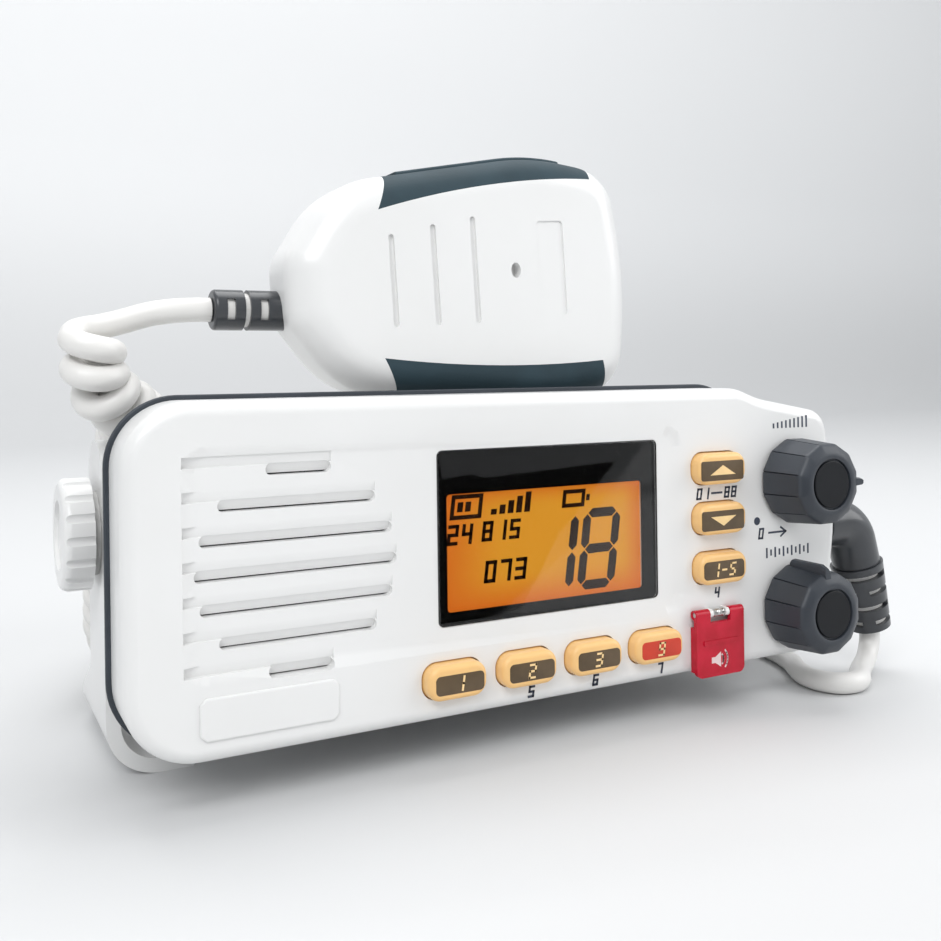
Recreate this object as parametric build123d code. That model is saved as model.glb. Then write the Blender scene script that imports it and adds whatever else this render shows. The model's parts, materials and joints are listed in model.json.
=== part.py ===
from build123d import *
import math
import os

# Fixed-mount marine VHF radio in its gimbal bracket, with the fist microphone standing on top.
# Millimetres. +X runs to the set's right hand as it faces the user, +Y to the rear, +Z up.
# The origin is the middle of the bracket's four screw holes, on the surface that it stands on.

# ---------------------------------------------------------------- driving dimensions

# Front panel: a white moulded shell, open at the back
panel_width = 179.0
panel_height = 68.0
panel_depth = 14.0
panel_wall = 2.5
face_wall = 3.5
face_edge_radius = 3.0
panel_floor_gap = 11.0
front_y = -64.0
shoulder_x = 57.0
shoulder_drop = 6.7

# Sloping tray that the grille and the display sit in
tray_left, tray_right = -79.0, 38.5
tray_bottom, tray_top = 14.5, 59.8
tray_depth = 1.0
tray_slope = 3.0

# Speaker and its louvres
speaker_x, speaker_z = -56.0, 35.0
speaker_radius = 20.0
speaker_magnet_radius = 10.5
speaker_depth = 14.5
louvre_count = 7
louvre_pitch = 6.5
louvre_height = 2.3
louvre_circle = 20.6
louvre_scoop = 1.9
louvre_scoop_depth = 0.55
louvre_gap, blade_front, blade_thick = 0.3, 1.6, 0.7

# Display
window_x, window_z = 2.65, 37.8
window_width, window_height, window_thick = 57.3, 37.0, 1.6
window_proud = 0.3
lcd_x, lcd_z = 1.35, 34.9
lcd_width, lcd_height, lcd_thick = 54.0, 28.0, 1.9
lcd_view_inset = 1.4

# Keys
column_key_width, column_key_height = 14.4, 7.5
column_key_x = 48.2
column_key_z = (48.9, 36.9, 25.0)
row_key_width, row_key_height = 13.6, 7.3
row_key_x, row_key_pitch, row_key_z = -23.55, 17.42, 8.7
row_key_count = 4
key_proud, key_corner, key_soft_edge = 3.2, 3.0, 1.2
key_travel = 0.8
key_gap = 0.3
key_flange, key_flange_thick = 0.9, 1.0
key_stem_radius = 2.0
switch_size, switch_thick = 5.0, 1.5
switch_play = 0.1

# Siren button under its hinged cover
siren_x, siren_z = 47.3, 6.9
siren_button_radius = 3.2
siren_button_proud = 0.5
cover_width, cover_bottom = 14.6, -0.6
cover_pin_z, cover_pin_depth = 14.3, -1.3
cover_pin_radius = 0.6
cover_ear_radius = 1.15
cover_ear_width = 4.2
cover_plate, cover_front = 1.1, -2.4
cover_wall = 1.0
cover_lug_radius, cover_spring_radius = 1.0, 1.0
cover_lug_width = 1.0
cover_side_gap = 0.15

# Knobs and their controls
volume_place = (73.1, 44.5)
squelch_place = (73.1, 13.0)
knob_base_radius, knob_nose_radius = 10.8, 9.8
knob_length = 12.8
knob_corner = 0.3
knob_gap = 0.8
knob_sides = 12
knob_cap_radius, knob_cap_depth = 5.8, 0.6
pointer_width, pointer_height = 1.7, 1.2
volume_angle, squelch_angle = 0.0, 98.0
control_shaft_radius = 3.0
running_gap = 0.05
control_size = 13.6
control_bush_radius = 4.0

# Boards
board_thick = 1.6
front_board_depth = 9.4
main_board_z = 14.0
board_gap = 8.0
front_board_left, front_board_low = -32.0, 5.5
front_board_side_gap, front_board_top_gap = 7.5, 0.4

# Rear housing, gasket and heat sink
housing_width = 140.0
housing_bottom, housing_top_drop = 8.0, 5.0
housing_wall = 2.5
housing_rear = 122.0
housing_edge_radius = 4.0
flange_thick = 3.0
flange_gap = 0.2
gasket_thick, gasket_proud = 1.5, 1.0
gasket_fit = 0.3
sink_x, sink_height, sink_clear = -8.0, 44.0, 48.0
sink_base, fin_depth, fin_thick, fin_count = 4.0, 10.0, 2.0, 12
screw_edge_gap, screw_middle_z = 12.0, 28.0
post_inset, post_radius, post_front_gap, post_rear_gap = 14.0, 3.0, 20.0, 18.0
screw_radius, screw_head_radius, screw_head_thick = 1.5, 3.0, 1.8
boss_radius = 3.6
plate_width, plate_height, plate_thick, plate_recess = 27.5, 8.2, 0.8, 0.3
plate_x, plate_z = -62.3, 8.5
socket_inset, socket_z = 16.0, 42.0
socket_flange, socket_flange_thick = 25.0, 2.0
socket_radius, socket_length, socket_bore = 7.9, 16.0, 5.4
gland_radius, gland_length, gland_bore = 6.0, 9.0, 3.2
gland_z, gland_inset = 18.0, 8.5

# Gimbal bracket and its two clamps
pivot_depth, pivot_z = 42.0, 39.2
boss_pivot_radius, boss_pivot_reach = 12.0, 84.0
arm_thick = 3.0
arm_front, arm_rear = 31.0, 53.5
arm_crown = 20.0
pad_thick, pad_radius = 1.3, 11.0
bend_radius = 11.0
base_thick = 3.0
base_front, base_rear = 48.0, 80.0
base_notch = 62.0
gusset_height = 16.0
base_hole_x, base_hole_y, base_hole_radius = 110.0, 18.0, 2.4
stud_radius, stud_hole_gap = 2.5, 0.6
insert_radius, insert_length = 4.0, 12.0
washer_thick, washer_radius = 1.5, 9.0
clamp_radius, clamp_thick = 12.0, 6.2
clamp_flutes, clamp_flute_radius = 16, 1.2

# Microphone, standing on its long edge
mic_depth = 33.0
mic_start_x, mic_start_z = -50.5, 91.1
mic_tilt = 3.3
mic_length, mic_half_width = 90.0, 31.4
mic_front_thick, mic_back_thick = 13.5, 10.5
mic_edge_radius = 8.0
mic_cavity_inset, mic_cavity_depth, mic_back_cavity = 5.0, 11.0, 7.5
mic_hole_along, mic_hole_across, mic_hole_radius = 0.616 * mic_length, 2.8, 1.3
mic_slots = ((0.261, 0.37), (0.378, 0.44), (0.494, 0.497))
mic_slot_low, mic_slot_width, mic_slot_depth = 0.296, 1.4, 0.8
mic_plate_place, mic_plate_size, mic_plate_depth = (0.729 * mic_length, 3.1), (7.5, 23.0), 0.4
mic_board_length, mic_board_width = 0.62 * mic_length, 0.88 * mic_half_width
capsule_radius, capsule_thick = 5.0, 6.0
ptt_start, ptt_end = 0.32 * mic_length, 0.82 * mic_length
ptt_floor, ptt_reach = mic_half_width - 7.7, mic_half_width + 0.8
ptt_half_thick, ptt_gap = 6.5, 0.4
ptt_travel_room = 2.6
ptt_pin_radius = 1.0
mic_boot_radius, mic_boot_length, mic_boot_z = 4.5, 14.5, 87.2
stud_head_radius, stud_head_thick, stud_neck_radius, stud_neck_length = 6.0, 2.0, 3.2, 3.5
stud_shank_radius = 1.6

# Cord
cord_diameter = 5.4
coil_diameter = 15.2
elbow_radius = 6.3
elbow_z = 31.0
elbow_depth = 8.0
elbow_reach, elbow_bend = 12.1, 7.5
boot_start = 0.40
boot_top_radius, boot_end_radius = 7.0, 5.6
boot_rib_count = 4
boot_slot_width, boot_bridge_width = 1.5, 3.4

# ---------------------------------------------------------------- derived places

base_level = panel_floor_gap
half_panel = panel_width / 2
half_housing = housing_width / 2
pivot = Vector(0, front_y + pivot_depth, base_level + pivot_z)
arm_inner = boss_pivot_reach + pad_thick
arm_outer = arm_inner + arm_thick
key_rest_back = face_wall + key_flange_thick
switch_front = front_board_depth - switch_thick
stem_back = switch_front - key_travel - switch_play
gasket_back = panel_depth + gasket_thick
housing_top = panel_height - housing_top_drop
screw_x = (half_housing + half_panel) / 2
screw_places = (
    (-screw_x, screw_edge_gap), (-screw_x, panel_height - screw_edge_gap),
    (screw_x, panel_height - screw_edge_gap), (screw_x, screw_middle_z),
)
socket_x = half_housing - socket_inset
gland_places = ((socket_x, gland_z), (gland_inset - half_housing, gland_z))
sink_width = housing_width - sink_clear


def save(shape, name):
    """Write one node."""
    export_step(Compound(children=list(shape.solids())) if len(shape.solids()) > 1 else shape.solid(),
                f"parts/{name}.step")


def face_plane(depth):
    """Plane parallel to the front face: sketch x is X, sketch y is height above the panel's lower edge."""
    return Plane(origin=(0, front_y + depth, base_level), x_dir=(1, 0, 0), z_dir=(0, -1, 0))


def slab(sketch, front, back):
    """Extrude a front-view sketch from one depth to another."""
    return extrude(face_plane(back) * sketch, back - front)


def front_rod(x, z, radius, front, back):
    """Cylinder along Y at a place on the front view."""
    return slab(Pos(x, z) * Circle(radius), front, back)


def side_rod(radius, x_start, x_end, centre=None):
    """Cylinder along X."""
    middle = centre or pivot
    place = Plane(origin=(min(x_start, x_end), middle.Y, middle.Z), x_dir=(0, 1, 0), z_dir=(1, 0, 0))
    return extrude(place * Circle(radius), abs(x_end - x_start))


def rounded(width, height, radius):
    return RectangleRounded(width, height, radius)


def panel_face(grow=0.0):
    """Outline of the front panel: square-shouldered on the left, dropping and bowed on the knob side."""
    corners = [
        (-half_panel, 0), (-half_panel, panel_height), (shoulder_x, panel_height),
        (shoulder_x + 7, panel_height - 0.4 * shoulder_drop), (half_panel - 3.2, panel_height - shoulder_drop),
        (half_panel + 0.4, panel_height / 2), (half_panel - 4.3, 0),
    ]
    radii = [14, 13, 14, 30, 6, 50, 11]
    outline = make_face(FilletPolyline(corners, radius=radii, close=True))
    return offset(outline, grow) if grow else outline


# ---------------------------------------------------------------- front panel group

def key_outline(width, height, grow=0.0):
    return rounded(width + 2 * grow, height + 2 * grow, key_corner + grow)


def key_places():
    """Name, x, z, width and height of each of the seven keys."""
    places = []
    for name, z in zip(("channel_up_key", "channel_down_key", "power_level_key"), column_key_z):
        places.append((name, column_key_x, z, column_key_width, column_key_height))
    names = ("function_key_1", "function_key_2", "function_key_3", "distress_key")
    for number, name in enumerate(names[:row_key_count]):
        x = row_key_x + number * row_key_pitch
        places.append((name, x, row_key_z, row_key_width, row_key_height))
    return places


def louvre_places():
    """Height and half length of each louvre slot; the ends follow a circle."""
    places = []
    for row in range(louvre_count):
        rise = (row - (louvre_count - 1) / 2) * louvre_pitch
        half = math.sqrt(louvre_circle ** 2 - rise ** 2)
        places.append((speaker_z + rise, half))
    return places


def louvre_cutters():
    """Slots through the grille, each under a shallow scoop that runs across it."""
    cutters = []
    scoop_start = tray_left + 0.2
    for z, half in louvre_places():
        cutters.append(slab(Pos(speaker_x, z) * SlotOverall(2 * half, louvre_height), -1, face_wall))
        low = z + louvre_height / 2
        profile = Polyline((-0.2, low - 0.2), (tray_depth + louvre_scoop_depth, low - 0.2),
                           (tray_depth + louvre_scoop_depth, low), (tray_depth, low + louvre_scoop),
                           (-0.2, low + louvre_scoop), close=True)
        side = Plane(origin=(scoop_start, front_y, base_level), x_dir=(0, 1, 0), z_dir=(1, 0, 0))
        wedge = side * make_face(profile)
        if low + louvre_scoop < tray_top - tray_slope + 1.0 and low > tray_bottom + 1.0:
            cutters.append(extrude(wedge, speaker_x + half - scoop_start))
    return cutters


def louvre_blades():
    """A blade in each slot, sloping back and down; it hides the speaker and sound leaves under it."""
    blades = []
    for z, half in louvre_places():
        low, high = z - louvre_height / 2 + louvre_gap, z + louvre_height / 2 + 0.2
        profile = Polyline((blade_front, high), (blade_front + blade_thick, high), (face_wall, low),
                           (face_wall - blade_thick, low), close=True)
        side = Plane(origin=(speaker_x - half - 0.4, front_y, base_level), x_dir=(0, 1, 0), z_dir=(1, 0, 0))
        blades.append(extrude(side * make_face(profile), 2 * half + 0.8))
    return blades


def build_front_panel():
    shell = slab(panel_face(), 0, panel_depth)
    rim = shell.edges().filter_by_position(Axis.Y, front_y - 0.01, front_y + 0.01)
    shell = fillet(rim, face_edge_radius)
    shell -= slab(panel_face(-panel_wall), face_wall, panel_depth)

    mid = ((tray_left + tray_right) / 2, (tray_bottom + tray_top) / 2)
    size = (tray_right - tray_left, tray_top - tray_bottom)
    mouth = face_plane(0) * Pos(*mid) * rounded(*size, 5.0)
    floor = face_plane(tray_depth) * Pos(*mid) * rounded(size[0] - 2 * tray_slope, size[1] - 2 * tray_slope, 2.5)
    shell -= loft([mouth, floor], ruled=True)

    for x, z in screw_places:
        shell += front_rod(x, z, boss_radius, face_wall, panel_depth - flange_thick)
        shell -= front_rod(x, z, screw_radius, face_wall + 1.5, panel_depth)

    window_front = tray_depth - window_proud
    window_hole = Pos(window_x, window_z) * rounded(window_width + 0.2, window_height + 0.2, 1.3)
    shell -= slab(window_hole, -1, window_front + window_thick)
    view = Pos(lcd_x, lcd_z) * Rectangle(lcd_width - lcd_view_inset, lcd_height - lcd_view_inset)
    shell -= slab(view, 0, face_wall)

    for name, x, z, width, height in key_places():
        shell -= slab(Pos(x, z) * key_outline(width, height, key_gap), -1, face_wall)
    shell -= front_rod(siren_x, siren_z, siren_button_radius + key_gap, -1, face_wall)
    for x, z in (volume_place, squelch_place):
        shell -= front_rod(x, z, control_bush_radius, -1, face_wall)

    shell -= slab(name_plate_outline(), -1, plate_recess)
    for cutter in louvre_cutters():
        shell -= cutter
    for blade in louvre_blades():
        shell += blade

    elbow_centre = Vector(0, front_y + elbow_depth, base_level + elbow_z)
    shell -= side_rod(elbow_radius - 1.5, half_panel - 4, half_panel + 4, elbow_centre)

    lug_radius = cover_lug_radius
    for side in (-1, 1):
        lug_middle = siren_x + side * (cover_width / 2 - cover_ear_width - cover_side_gap - cover_lug_width / 2)
        lug = slab(Pos(lug_middle, cover_pin_z) * Rectangle(cover_lug_width, 2 * lug_radius),
                   cover_pin_depth, 0.5)
        lug += side_rod(lug_radius, lug_middle - cover_lug_width / 2, lug_middle + cover_lug_width / 2, cover_pin())
        lug -= side_rod(cover_pin_radius, siren_x - cover_width, siren_x + cover_width, cover_pin())
        shell += lug
    return shell


def cover_pin():
    return Vector(siren_x, front_y + cover_pin_depth, base_level + cover_pin_z)


def name_plate_outline():
    outline = Pos(plate_x, plate_z) * Rectangle(plate_width, plate_height)
    return chamfer(outline.vertices(), 1.2)


def build_name_plate():
    plate = slab(name_plate_outline(), plate_recess - plate_thick, plate_recess)
    rim = plate.faces().sort_by(Axis.Y)[0].edges()
    return chamfer(rim, 0.25)


def build_display_window():
    front = tray_depth - window_proud
    pane = slab(Pos(window_x, window_z) * rounded(window_width, window_height, 1.2), front, front + window_thick)
    return chamfer(pane.faces().sort_by(Axis.Y)[0].edges(), 0.3)


def build_lcd_panel():
    return slab(Pos(lcd_x, lcd_z) * Rectangle(lcd_width, lcd_height), face_wall, face_wall + lcd_thick)


def build_lcd_holder():
    back = face_wall + lcd_thick
    holder = slab(Pos(lcd_x, lcd_z) * rounded(lcd_width + 3, lcd_height + 4, 1.0), back, front_board_depth)
    for side in (-1, 1):
        clip_x = lcd_x + side * (lcd_width / 2 + 0.9)
        holder += slab(Pos(clip_x, lcd_z) * Rectangle(1.2, 8), face_wall, back + 0.5)
    return holder


def board_outline():
    left, low = front_board_left, front_board_low
    right = half_panel - panel_wall - front_board_side_gap
    high = panel_height - shoulder_drop - panel_wall - front_board_top_gap
    outline = Pos((left + right) / 2, (low + high) / 2) * rounded(right - left, high - low, 2.0)
    for x, z in screw_places[2:]:
        outline -= Pos(x, z) * Circle(boss_radius + 0.6)
    return outline


def build_front_board():
    return slab(board_outline(), front_board_depth, front_board_depth + board_thick)


def build_key_switches():
    switches = []
    for x, z in [(place[1], place[2]) for place in key_places()] + [(siren_x, siren_z)]:
        switches.append(slab(Pos(x, z) * Rectangle(switch_size, switch_size), switch_front, front_board_depth))
    return Compound(children=switches)


def build_key(x, z, width, height):
    cap = slab(Pos(x, z) * key_outline(width, height), -key_proud, key_rest_back)
    cap = fillet(cap.faces().sort_by(Axis.Y)[0].edges(), key_soft_edge)
    cap += slab(Pos(x, z) * key_outline(width, height, key_flange), face_wall, key_rest_back)
    cap += front_rod(x, z, key_stem_radius, key_rest_back - 0.5, stem_back)
    return cap


def build_siren_button():
    button = front_rod(siren_x, siren_z, siren_button_radius, -siren_button_proud, key_rest_back)
    button = fillet(button.faces().sort_by(Axis.Y)[0].edges(), 0.6)
    button += front_rod(siren_x, siren_z, siren_button_radius + key_flange, face_wall, key_rest_back)
    button += front_rod(siren_x, siren_z, key_stem_radius, key_rest_back - 0.5, stem_back)
    return button


def build_siren_cover():
    """Flip cover: a plate with side walls, two hinge ears, and a notch between them that shows the spring."""
    half = cover_width / 2
    top = cover_pin_z
    height = top - cover_bottom
    plate = slab(Pos(siren_x, cover_bottom + height / 2) * Rectangle(cover_width, height),
                 cover_front, cover_front + cover_plate)
    corner = plate.edges().filter_by(Axis.Y).sort_by(Axis.Z)[:2]
    plate = fillet(corner, 1.6)
    plate += slab(Pos(siren_x, siren_z + 0.7) * Rectangle(cover_width - 4.0, 1.0), cover_front - 0.3, cover_front)
    wall_height = top - 3.0 - cover_bottom - 1.2
    for side in (-1, 1):
        wall_x = siren_x + side * (half - cover_wall / 2)
        plate += slab(Pos(wall_x, cover_bottom + 1.2 + wall_height / 2) * Rectangle(cover_wall, wall_height),
                      cover_front + cover_plate, -0.15)
        ear = siren_x + side * (half - cover_ear_width / 2)
        plate += side_rod(cover_ear_radius, ear - cover_ear_width / 2, ear + cover_ear_width / 2, cover_pin())
    notch = cover_width - 2 * cover_ear_width
    plate -= slab(Pos(siren_x, top) * Rectangle(notch, 4.0), cover_front - 1, 0)
    plate -= side_rod(cover_pin_radius + running_gap, siren_x - half - 1, siren_x + half + 1, cover_pin())
    return plate


def build_siren_spring():
    """Torsion spring round the pin, drawn as its closed coil."""
    half = cover_width / 2 - cover_ear_width - cover_side_gap - cover_lug_width - 0.1
    coil = side_rod(cover_spring_radius, siren_x - half, siren_x + half, cover_pin())
    return coil - side_rod(cover_pin_radius + running_gap, siren_x - half, siren_x + half, cover_pin())


def build_siren_pin():
    half = cover_width / 2 - 0.2
    return side_rod(cover_pin_radius, siren_x - half, siren_x + half, cover_pin())


def build_control(place):
    """Rotary control: a square can on the board, with a bush that fills the panel's hole."""
    can = slab(Pos(*place) * rounded(control_size, control_size, 1.0), face_wall, front_board_depth)
    can += front_rod(*place, control_bush_radius, -0.3, face_wall)
    return can - front_rod(*place, control_shaft_radius + running_gap, -1, face_wall + 3.0)


def build_control_shaft(place):
    return front_rod(*place, control_shaft_radius, -knob_gap - knob_length + 4.0, face_wall + 3.0)


def build_knob(place, angle):
    """Tapered knob with flat sides, a pointer ridge and a round recess in its nose."""
    x, z = place
    nose = -knob_gap - knob_length
    turn = Rot(0, 0, 180 / knob_sides)
    base_ring = face_plane(-knob_gap) * Pos(*place) * turn * RegularPolygon(knob_base_radius + knob_corner, knob_sides)
    nose_ring = face_plane(nose) * Pos(*place) * turn * RegularPolygon(knob_nose_radius + knob_corner, knob_sides)
    body = loft([base_ring, nose_ring], ruled=True)
    profile = Polyline((0, 0), (knob_base_radius, 0), (knob_base_radius, 1.2),
                       (knob_nose_radius, knob_length - 1.2), (knob_nose_radius - 1.2, knob_length),
                       (0, knob_length), close=True)
    axis_plane = Plane(origin=(x, front_y - knob_gap, base_level + z), x_dir=(1, 0, 0), z_dir=(0, 0, 1))
    skirt = axis_plane * make_face(mirror(profile, Plane.XZ))
    body &= revolve(skirt, Axis((x, front_y, base_level + z), (0, 1, 0)))
    body -= front_rod(*place, knob_cap_radius, nose - 1, nose + knob_cap_depth)
    ridge_length = knob_base_radius - 2.0
    ridge = Pos(knob_base_radius + pointer_height - ridge_length / 2, 0)
    bar = slab(Pos(*place) * Rot(0, 0, angle) * ridge * Rectangle(ridge_length, pointer_width),
               nose + knob_cap_depth + 0.2, -knob_gap - 1.2)
    body += bar - front_rod(*place, knob_cap_radius + 0.8, nose - 1, 0)
    return body - front_rod(*place, control_shaft_radius, nose + 4.0, 0)


def build_knob_cap(place):
    nose = -knob_gap - knob_length
    cap = front_rod(*place, knob_cap_radius - 0.1, nose + 0.1, nose + knob_cap_depth)
    return fillet(cap.faces().sort_by(Axis.Y)[0].edges(), 0.3)


def build_speaker():
    """Driver against the back of the grille: rim, tapering basket, magnet."""
    back = face_wall + speaker_depth
    basket = 8.0
    driver = front_rod(speaker_x, speaker_z, speaker_radius, face_wall, face_wall + 2.0)
    throat = loft([face_plane(face_wall + 2.0) * Pos(speaker_x, speaker_z) * Circle(speaker_radius - 2.5),
                   face_plane(face_wall + basket) * Pos(speaker_x, speaker_z) * Circle(speaker_magnet_radius)])
    driver += throat
    driver += front_rod(speaker_x, speaker_z, speaker_magnet_radius, face_wall + basket, back)
    hollow = Polyline((0, 0), (0, 6.0), (4.0, 6.0), (speaker_radius - 5.0, 0), close=True)
    place = Plane(origin=(speaker_x, front_y + face_wall, base_level + speaker_z), x_dir=(1, 0, 0), z_dir=(0, 0, 1))
    cone = revolve(place * make_face(hollow), Axis((speaker_x, front_y, base_level + speaker_z), (0, 1, 0)))
    return driver - cone


# ---------------------------------------------------------------- housing group

def housing_outline(grow=0.0):
    width = housing_width + 2 * grow
    height = housing_top - housing_bottom + 2 * grow
    radius = max(housing_edge_radius + grow, 0.8)
    return Pos(0, (housing_top + housing_bottom) / 2) * rounded(width, height, radius)


def build_rear_housing():
    """Box with a flange that closes the front panel's back, and a trunnion boss on each side."""
    flange_front = panel_depth - flange_thick
    box = slab(housing_outline(), panel_depth, housing_rear)
    box += slab(panel_face(-panel_wall - flange_gap), flange_front, panel_depth)
    for side in (-1, 1):
        box += side_rod(boss_pivot_radius, side * (half_housing - housing_wall), side * boss_pivot_reach)
    box -= slab(housing_outline(-housing_wall), flange_front - 1, housing_rear - housing_wall)
    for side in (-1, 1):
        reach = boss_pivot_reach
        box -= side_rod(insert_radius, side * (reach - insert_length), side * (reach + 1))
    for x, z in screw_places:
        box -= front_rod(x, z, screw_radius + 0.3, flange_front - 1, panel_depth)
    for x in (post_inset - half_housing, half_housing - post_inset):
        for depth in (panel_depth + post_front_gap, housing_rear - post_rear_gap):
            post = Pos(x, front_y + depth, base_level + housing_bottom + housing_wall) * Cylinder(
                post_radius, main_board_z - housing_bottom - housing_wall,
                align=(Align.CENTER, Align.CENTER, Align.MIN))
            box += post
    for x, z in gland_places:
        box -= front_rod(x, z, gland_radius - 1.5, housing_rear - housing_wall - 1, housing_rear + 1)
    box -= front_rod(socket_x, socket_z, socket_radius - 1.0, housing_rear - housing_wall - 1, housing_rear + 1)
    return box


def build_panel_gasket():
    ring = slab(panel_face(gasket_proud), panel_depth, gasket_back)
    ring -= slab(housing_outline(gasket_fit), panel_depth - 1, gasket_back + 1)
    for x, z in screw_places:
        ring -= front_rod(x, z, screw_head_radius + 0.3, panel_depth - 1, gasket_back + 1)
    return ring


def build_housing_screws():
    screws = []
    for x, z in screw_places:
        screw = front_rod(x, z, screw_radius, face_wall + 2.0, panel_depth)
        head = front_rod(x, z, screw_head_radius, panel_depth, panel_depth + screw_head_thick)
        screws.append(screw + head)
    return Compound(children=screws)


def build_main_board():
    start = panel_depth + board_gap
    size_y = housing_rear - board_gap - start
    board = Box(housing_width - 2 * board_gap, size_y, board_thick, align=(Align.CENTER, Align.MIN, Align.MIN))
    return Pos(0, front_y + start, base_level + main_board_z) * board


def build_heat_sink():
    middle = (housing_bottom + housing_top) / 2
    sink = slab(Pos(sink_x, middle) * rounded(sink_width, sink_height, 1.5), housing_rear, housing_rear + sink_base)
    pitch = (sink_width - fin_thick) / (fin_count - 1)
    for number in range(fin_count):
        x = sink_x - sink_width / 2 + fin_thick / 2 + number * pitch
        fin = Pos(x, middle) * Rectangle(fin_thick, sink_height - 3.0)
        sink += slab(fin, housing_rear + sink_base, housing_rear + sink_base + fin_depth)
    return sink


def build_antenna_socket():
    flange_back = housing_rear + socket_flange_thick
    body = slab(Pos(socket_x, socket_z) * rounded(socket_flange, socket_flange, 2.0), housing_rear, flange_back)
    body += front_rod(socket_x, socket_z, socket_radius, flange_back, flange_back + socket_length)
    body += front_rod(socket_x, socket_z, socket_radius - 1.0, housing_rear - housing_wall, housing_rear)
    body -= front_rod(socket_x, socket_z, socket_bore, flange_back + 4.0, flange_back + socket_length + 1)
    body += front_rod(socket_x, socket_z, 3.4, flange_back + 3.0, flange_back + socket_length - 2.0)
    return body - front_rod(socket_x, socket_z, 2.0, flange_back + 5.0, flange_back + socket_length)


def build_rear_glands():
    glands = []
    for x, z in gland_places:
        gland = front_rod(x, z, gland_radius, housing_rear, housing_rear + 2.0)
        gland += front_rod(x, z, gland_radius - 1.5, housing_rear - housing_wall, housing_rear + gland_length)
        glands.append(gland - front_rod(x, z, gland_bore, housing_rear - 5, housing_rear + gland_length + 1))
    return Compound(children=glands)


def build_thread_inserts():
    inserts = []
    for side in (-1, 1):
        insert = side_rod(insert_radius, side * (boss_pivot_reach - insert_length), side * boss_pivot_reach)
        bore = side_rod(stud_radius + running_gap, side * (boss_pivot_reach - insert_length),
                        side * (boss_pivot_reach + 1))
        inserts.append(insert - bore)
    return Compound(children=inserts)


# ---------------------------------------------------------------- gimbal group

def build_gimbal_bracket():
    """One moulded strip bent into a U: two round-topped arms, gussets, and a waisted base plate."""
    top = base_level + pivot_z + arm_crown
    inner_radius = bend_radius - arm_thick
    outer = Polyline((-arm_outer, top), (-arm_outer, 0), (arm_outer, 0), (arm_outer, top), close=True)
    inner = Polyline((-arm_inner, top + 1), (-arm_inner, base_thick), (arm_inner, base_thick),
                     (arm_inner, top + 1), close=True)
    outer_face = make_face(outer)
    outer_face = fillet(outer_face.vertices().group_by(Axis.Y)[0], bend_radius)
    inner_face = make_face(inner)
    inner_face = fillet(inner_face.vertices().group_by(Axis.Y)[0], inner_radius)
    section = outer_face - inner_face
    rear = Plane(origin=(0, front_y + base_rear, 0), x_dir=(1, 0, 0), z_dir=(0, -1, 0))
    strip = extrude(rear * section, base_rear - arm_front)

    half_arm = (arm_rear - arm_front) / 2
    crown_z = top - half_arm
    side = Plane(origin=(-arm_outer - 1, front_y, 0), x_dir=(0, 1, 0), z_dir=(1, 0, 0))
    profile = Pos((arm_front + arm_rear) / 2, crown_z / 2) * Rectangle(2 * half_arm, crown_z)
    profile += Pos((arm_front + arm_rear) / 2, crown_z) * Circle(half_arm)
    profile += make_face(Polyline((arm_front, 0), (base_rear, 0), (base_rear, base_thick),
                                  (arm_rear, base_thick + gusset_height), (arm_front, base_thick + gusset_height),
                                  close=True))
    strip &= extrude(side * profile, 2 * arm_outer + 2)

    notch = Polyline((-base_notch - 9, arm_front - 1), (-base_notch, base_front), (base_notch, base_front),
                     (base_notch + 9, arm_front - 1), close=True)
    notch_face = make_face(notch)
    notch_face = fillet(notch_face.vertices().group_by(Axis.Y)[-1], 6.0)
    strip -= extrude(Pos(0, front_y, -1) * notch_face, base_thick + 2)
    for x in (-base_hole_x / 2, base_hole_x / 2):
        for y in (-base_hole_y / 2, base_hole_y / 2):
            strip -= Pos(x, y, base_thick / 2) * Cylinder(base_hole_radius, base_thick + 2)
    strip -= side_rod(stud_radius + stud_hole_gap, -arm_outer - 1, arm_outer + 1)
    return strip


def build_bracket_pads():
    pads = []
    for side in (-1, 1):
        pad = side_rod(pad_radius, side * boss_pivot_reach, side * arm_inner)
        pads.append(pad - side_rod(stud_radius + stud_hole_gap, side * (boss_pivot_reach - 1), side * arm_outer))
    return Compound(children=pads)


def build_clamp_washer(side):
    washer = side_rod(washer_radius, side * arm_outer, side * (arm_outer + washer_thick))
    bore = side_rod(stud_radius + running_gap, side * (arm_outer - 1), side * (arm_outer + washer_thick + 1))
    return washer - bore


def build_clamp_stud(side):
    start = boss_pivot_reach - insert_length + 2.0
    end = arm_outer + washer_thick + clamp_thick - 2.0
    return side_rod(stud_radius, side * start, side * end)


def build_clamp_knob(side):
    """Fluted disc with a dished outer face, moulded round its stud."""
    start = arm_outer + washer_thick
    end = start + clamp_thick
    knob = side_rod(clamp_radius, side * start, side * end)
    outer_edge = knob.faces().sort_by(Axis.X)[-1 if side > 0 else 0].edges()
    knob = fillet(outer_edge, 1.8)
    for number in range(clamp_flutes):
        angle = 2 * math.pi * number / clamp_flutes
        reach = clamp_radius + 0.55 * clamp_flute_radius
        centre = pivot + Vector(0, reach * math.cos(angle), reach * math.sin(angle))
        knob -= side_rod(clamp_flute_radius, side * (start - 1), side * (end + 1), centre)
    knob -= side_rod(clamp_radius - 4.5, side * (end - 0.8), side * (end + 1))
    knob -= side_rod(stud_radius, side * (start - 1), side * (end - 2.0))
    return knob


# ---------------------------------------------------------------- microphone group

mic_frame = Plane(
    origin=(mic_start_x, front_y + mic_depth, base_level + mic_start_z),
    x_dir=(math.cos(math.radians(mic_tilt)), 0, math.sin(math.radians(mic_tilt))),
    z_dir=(0, -1, 0),
)


def mic_slab(sketch, back, front):
    """Extrude a sketch in the microphone's own plane, between two distances in front of its parting line."""
    return extrude(mic_frame * Pos(0, 0, back) * sketch, front - back)


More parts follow.
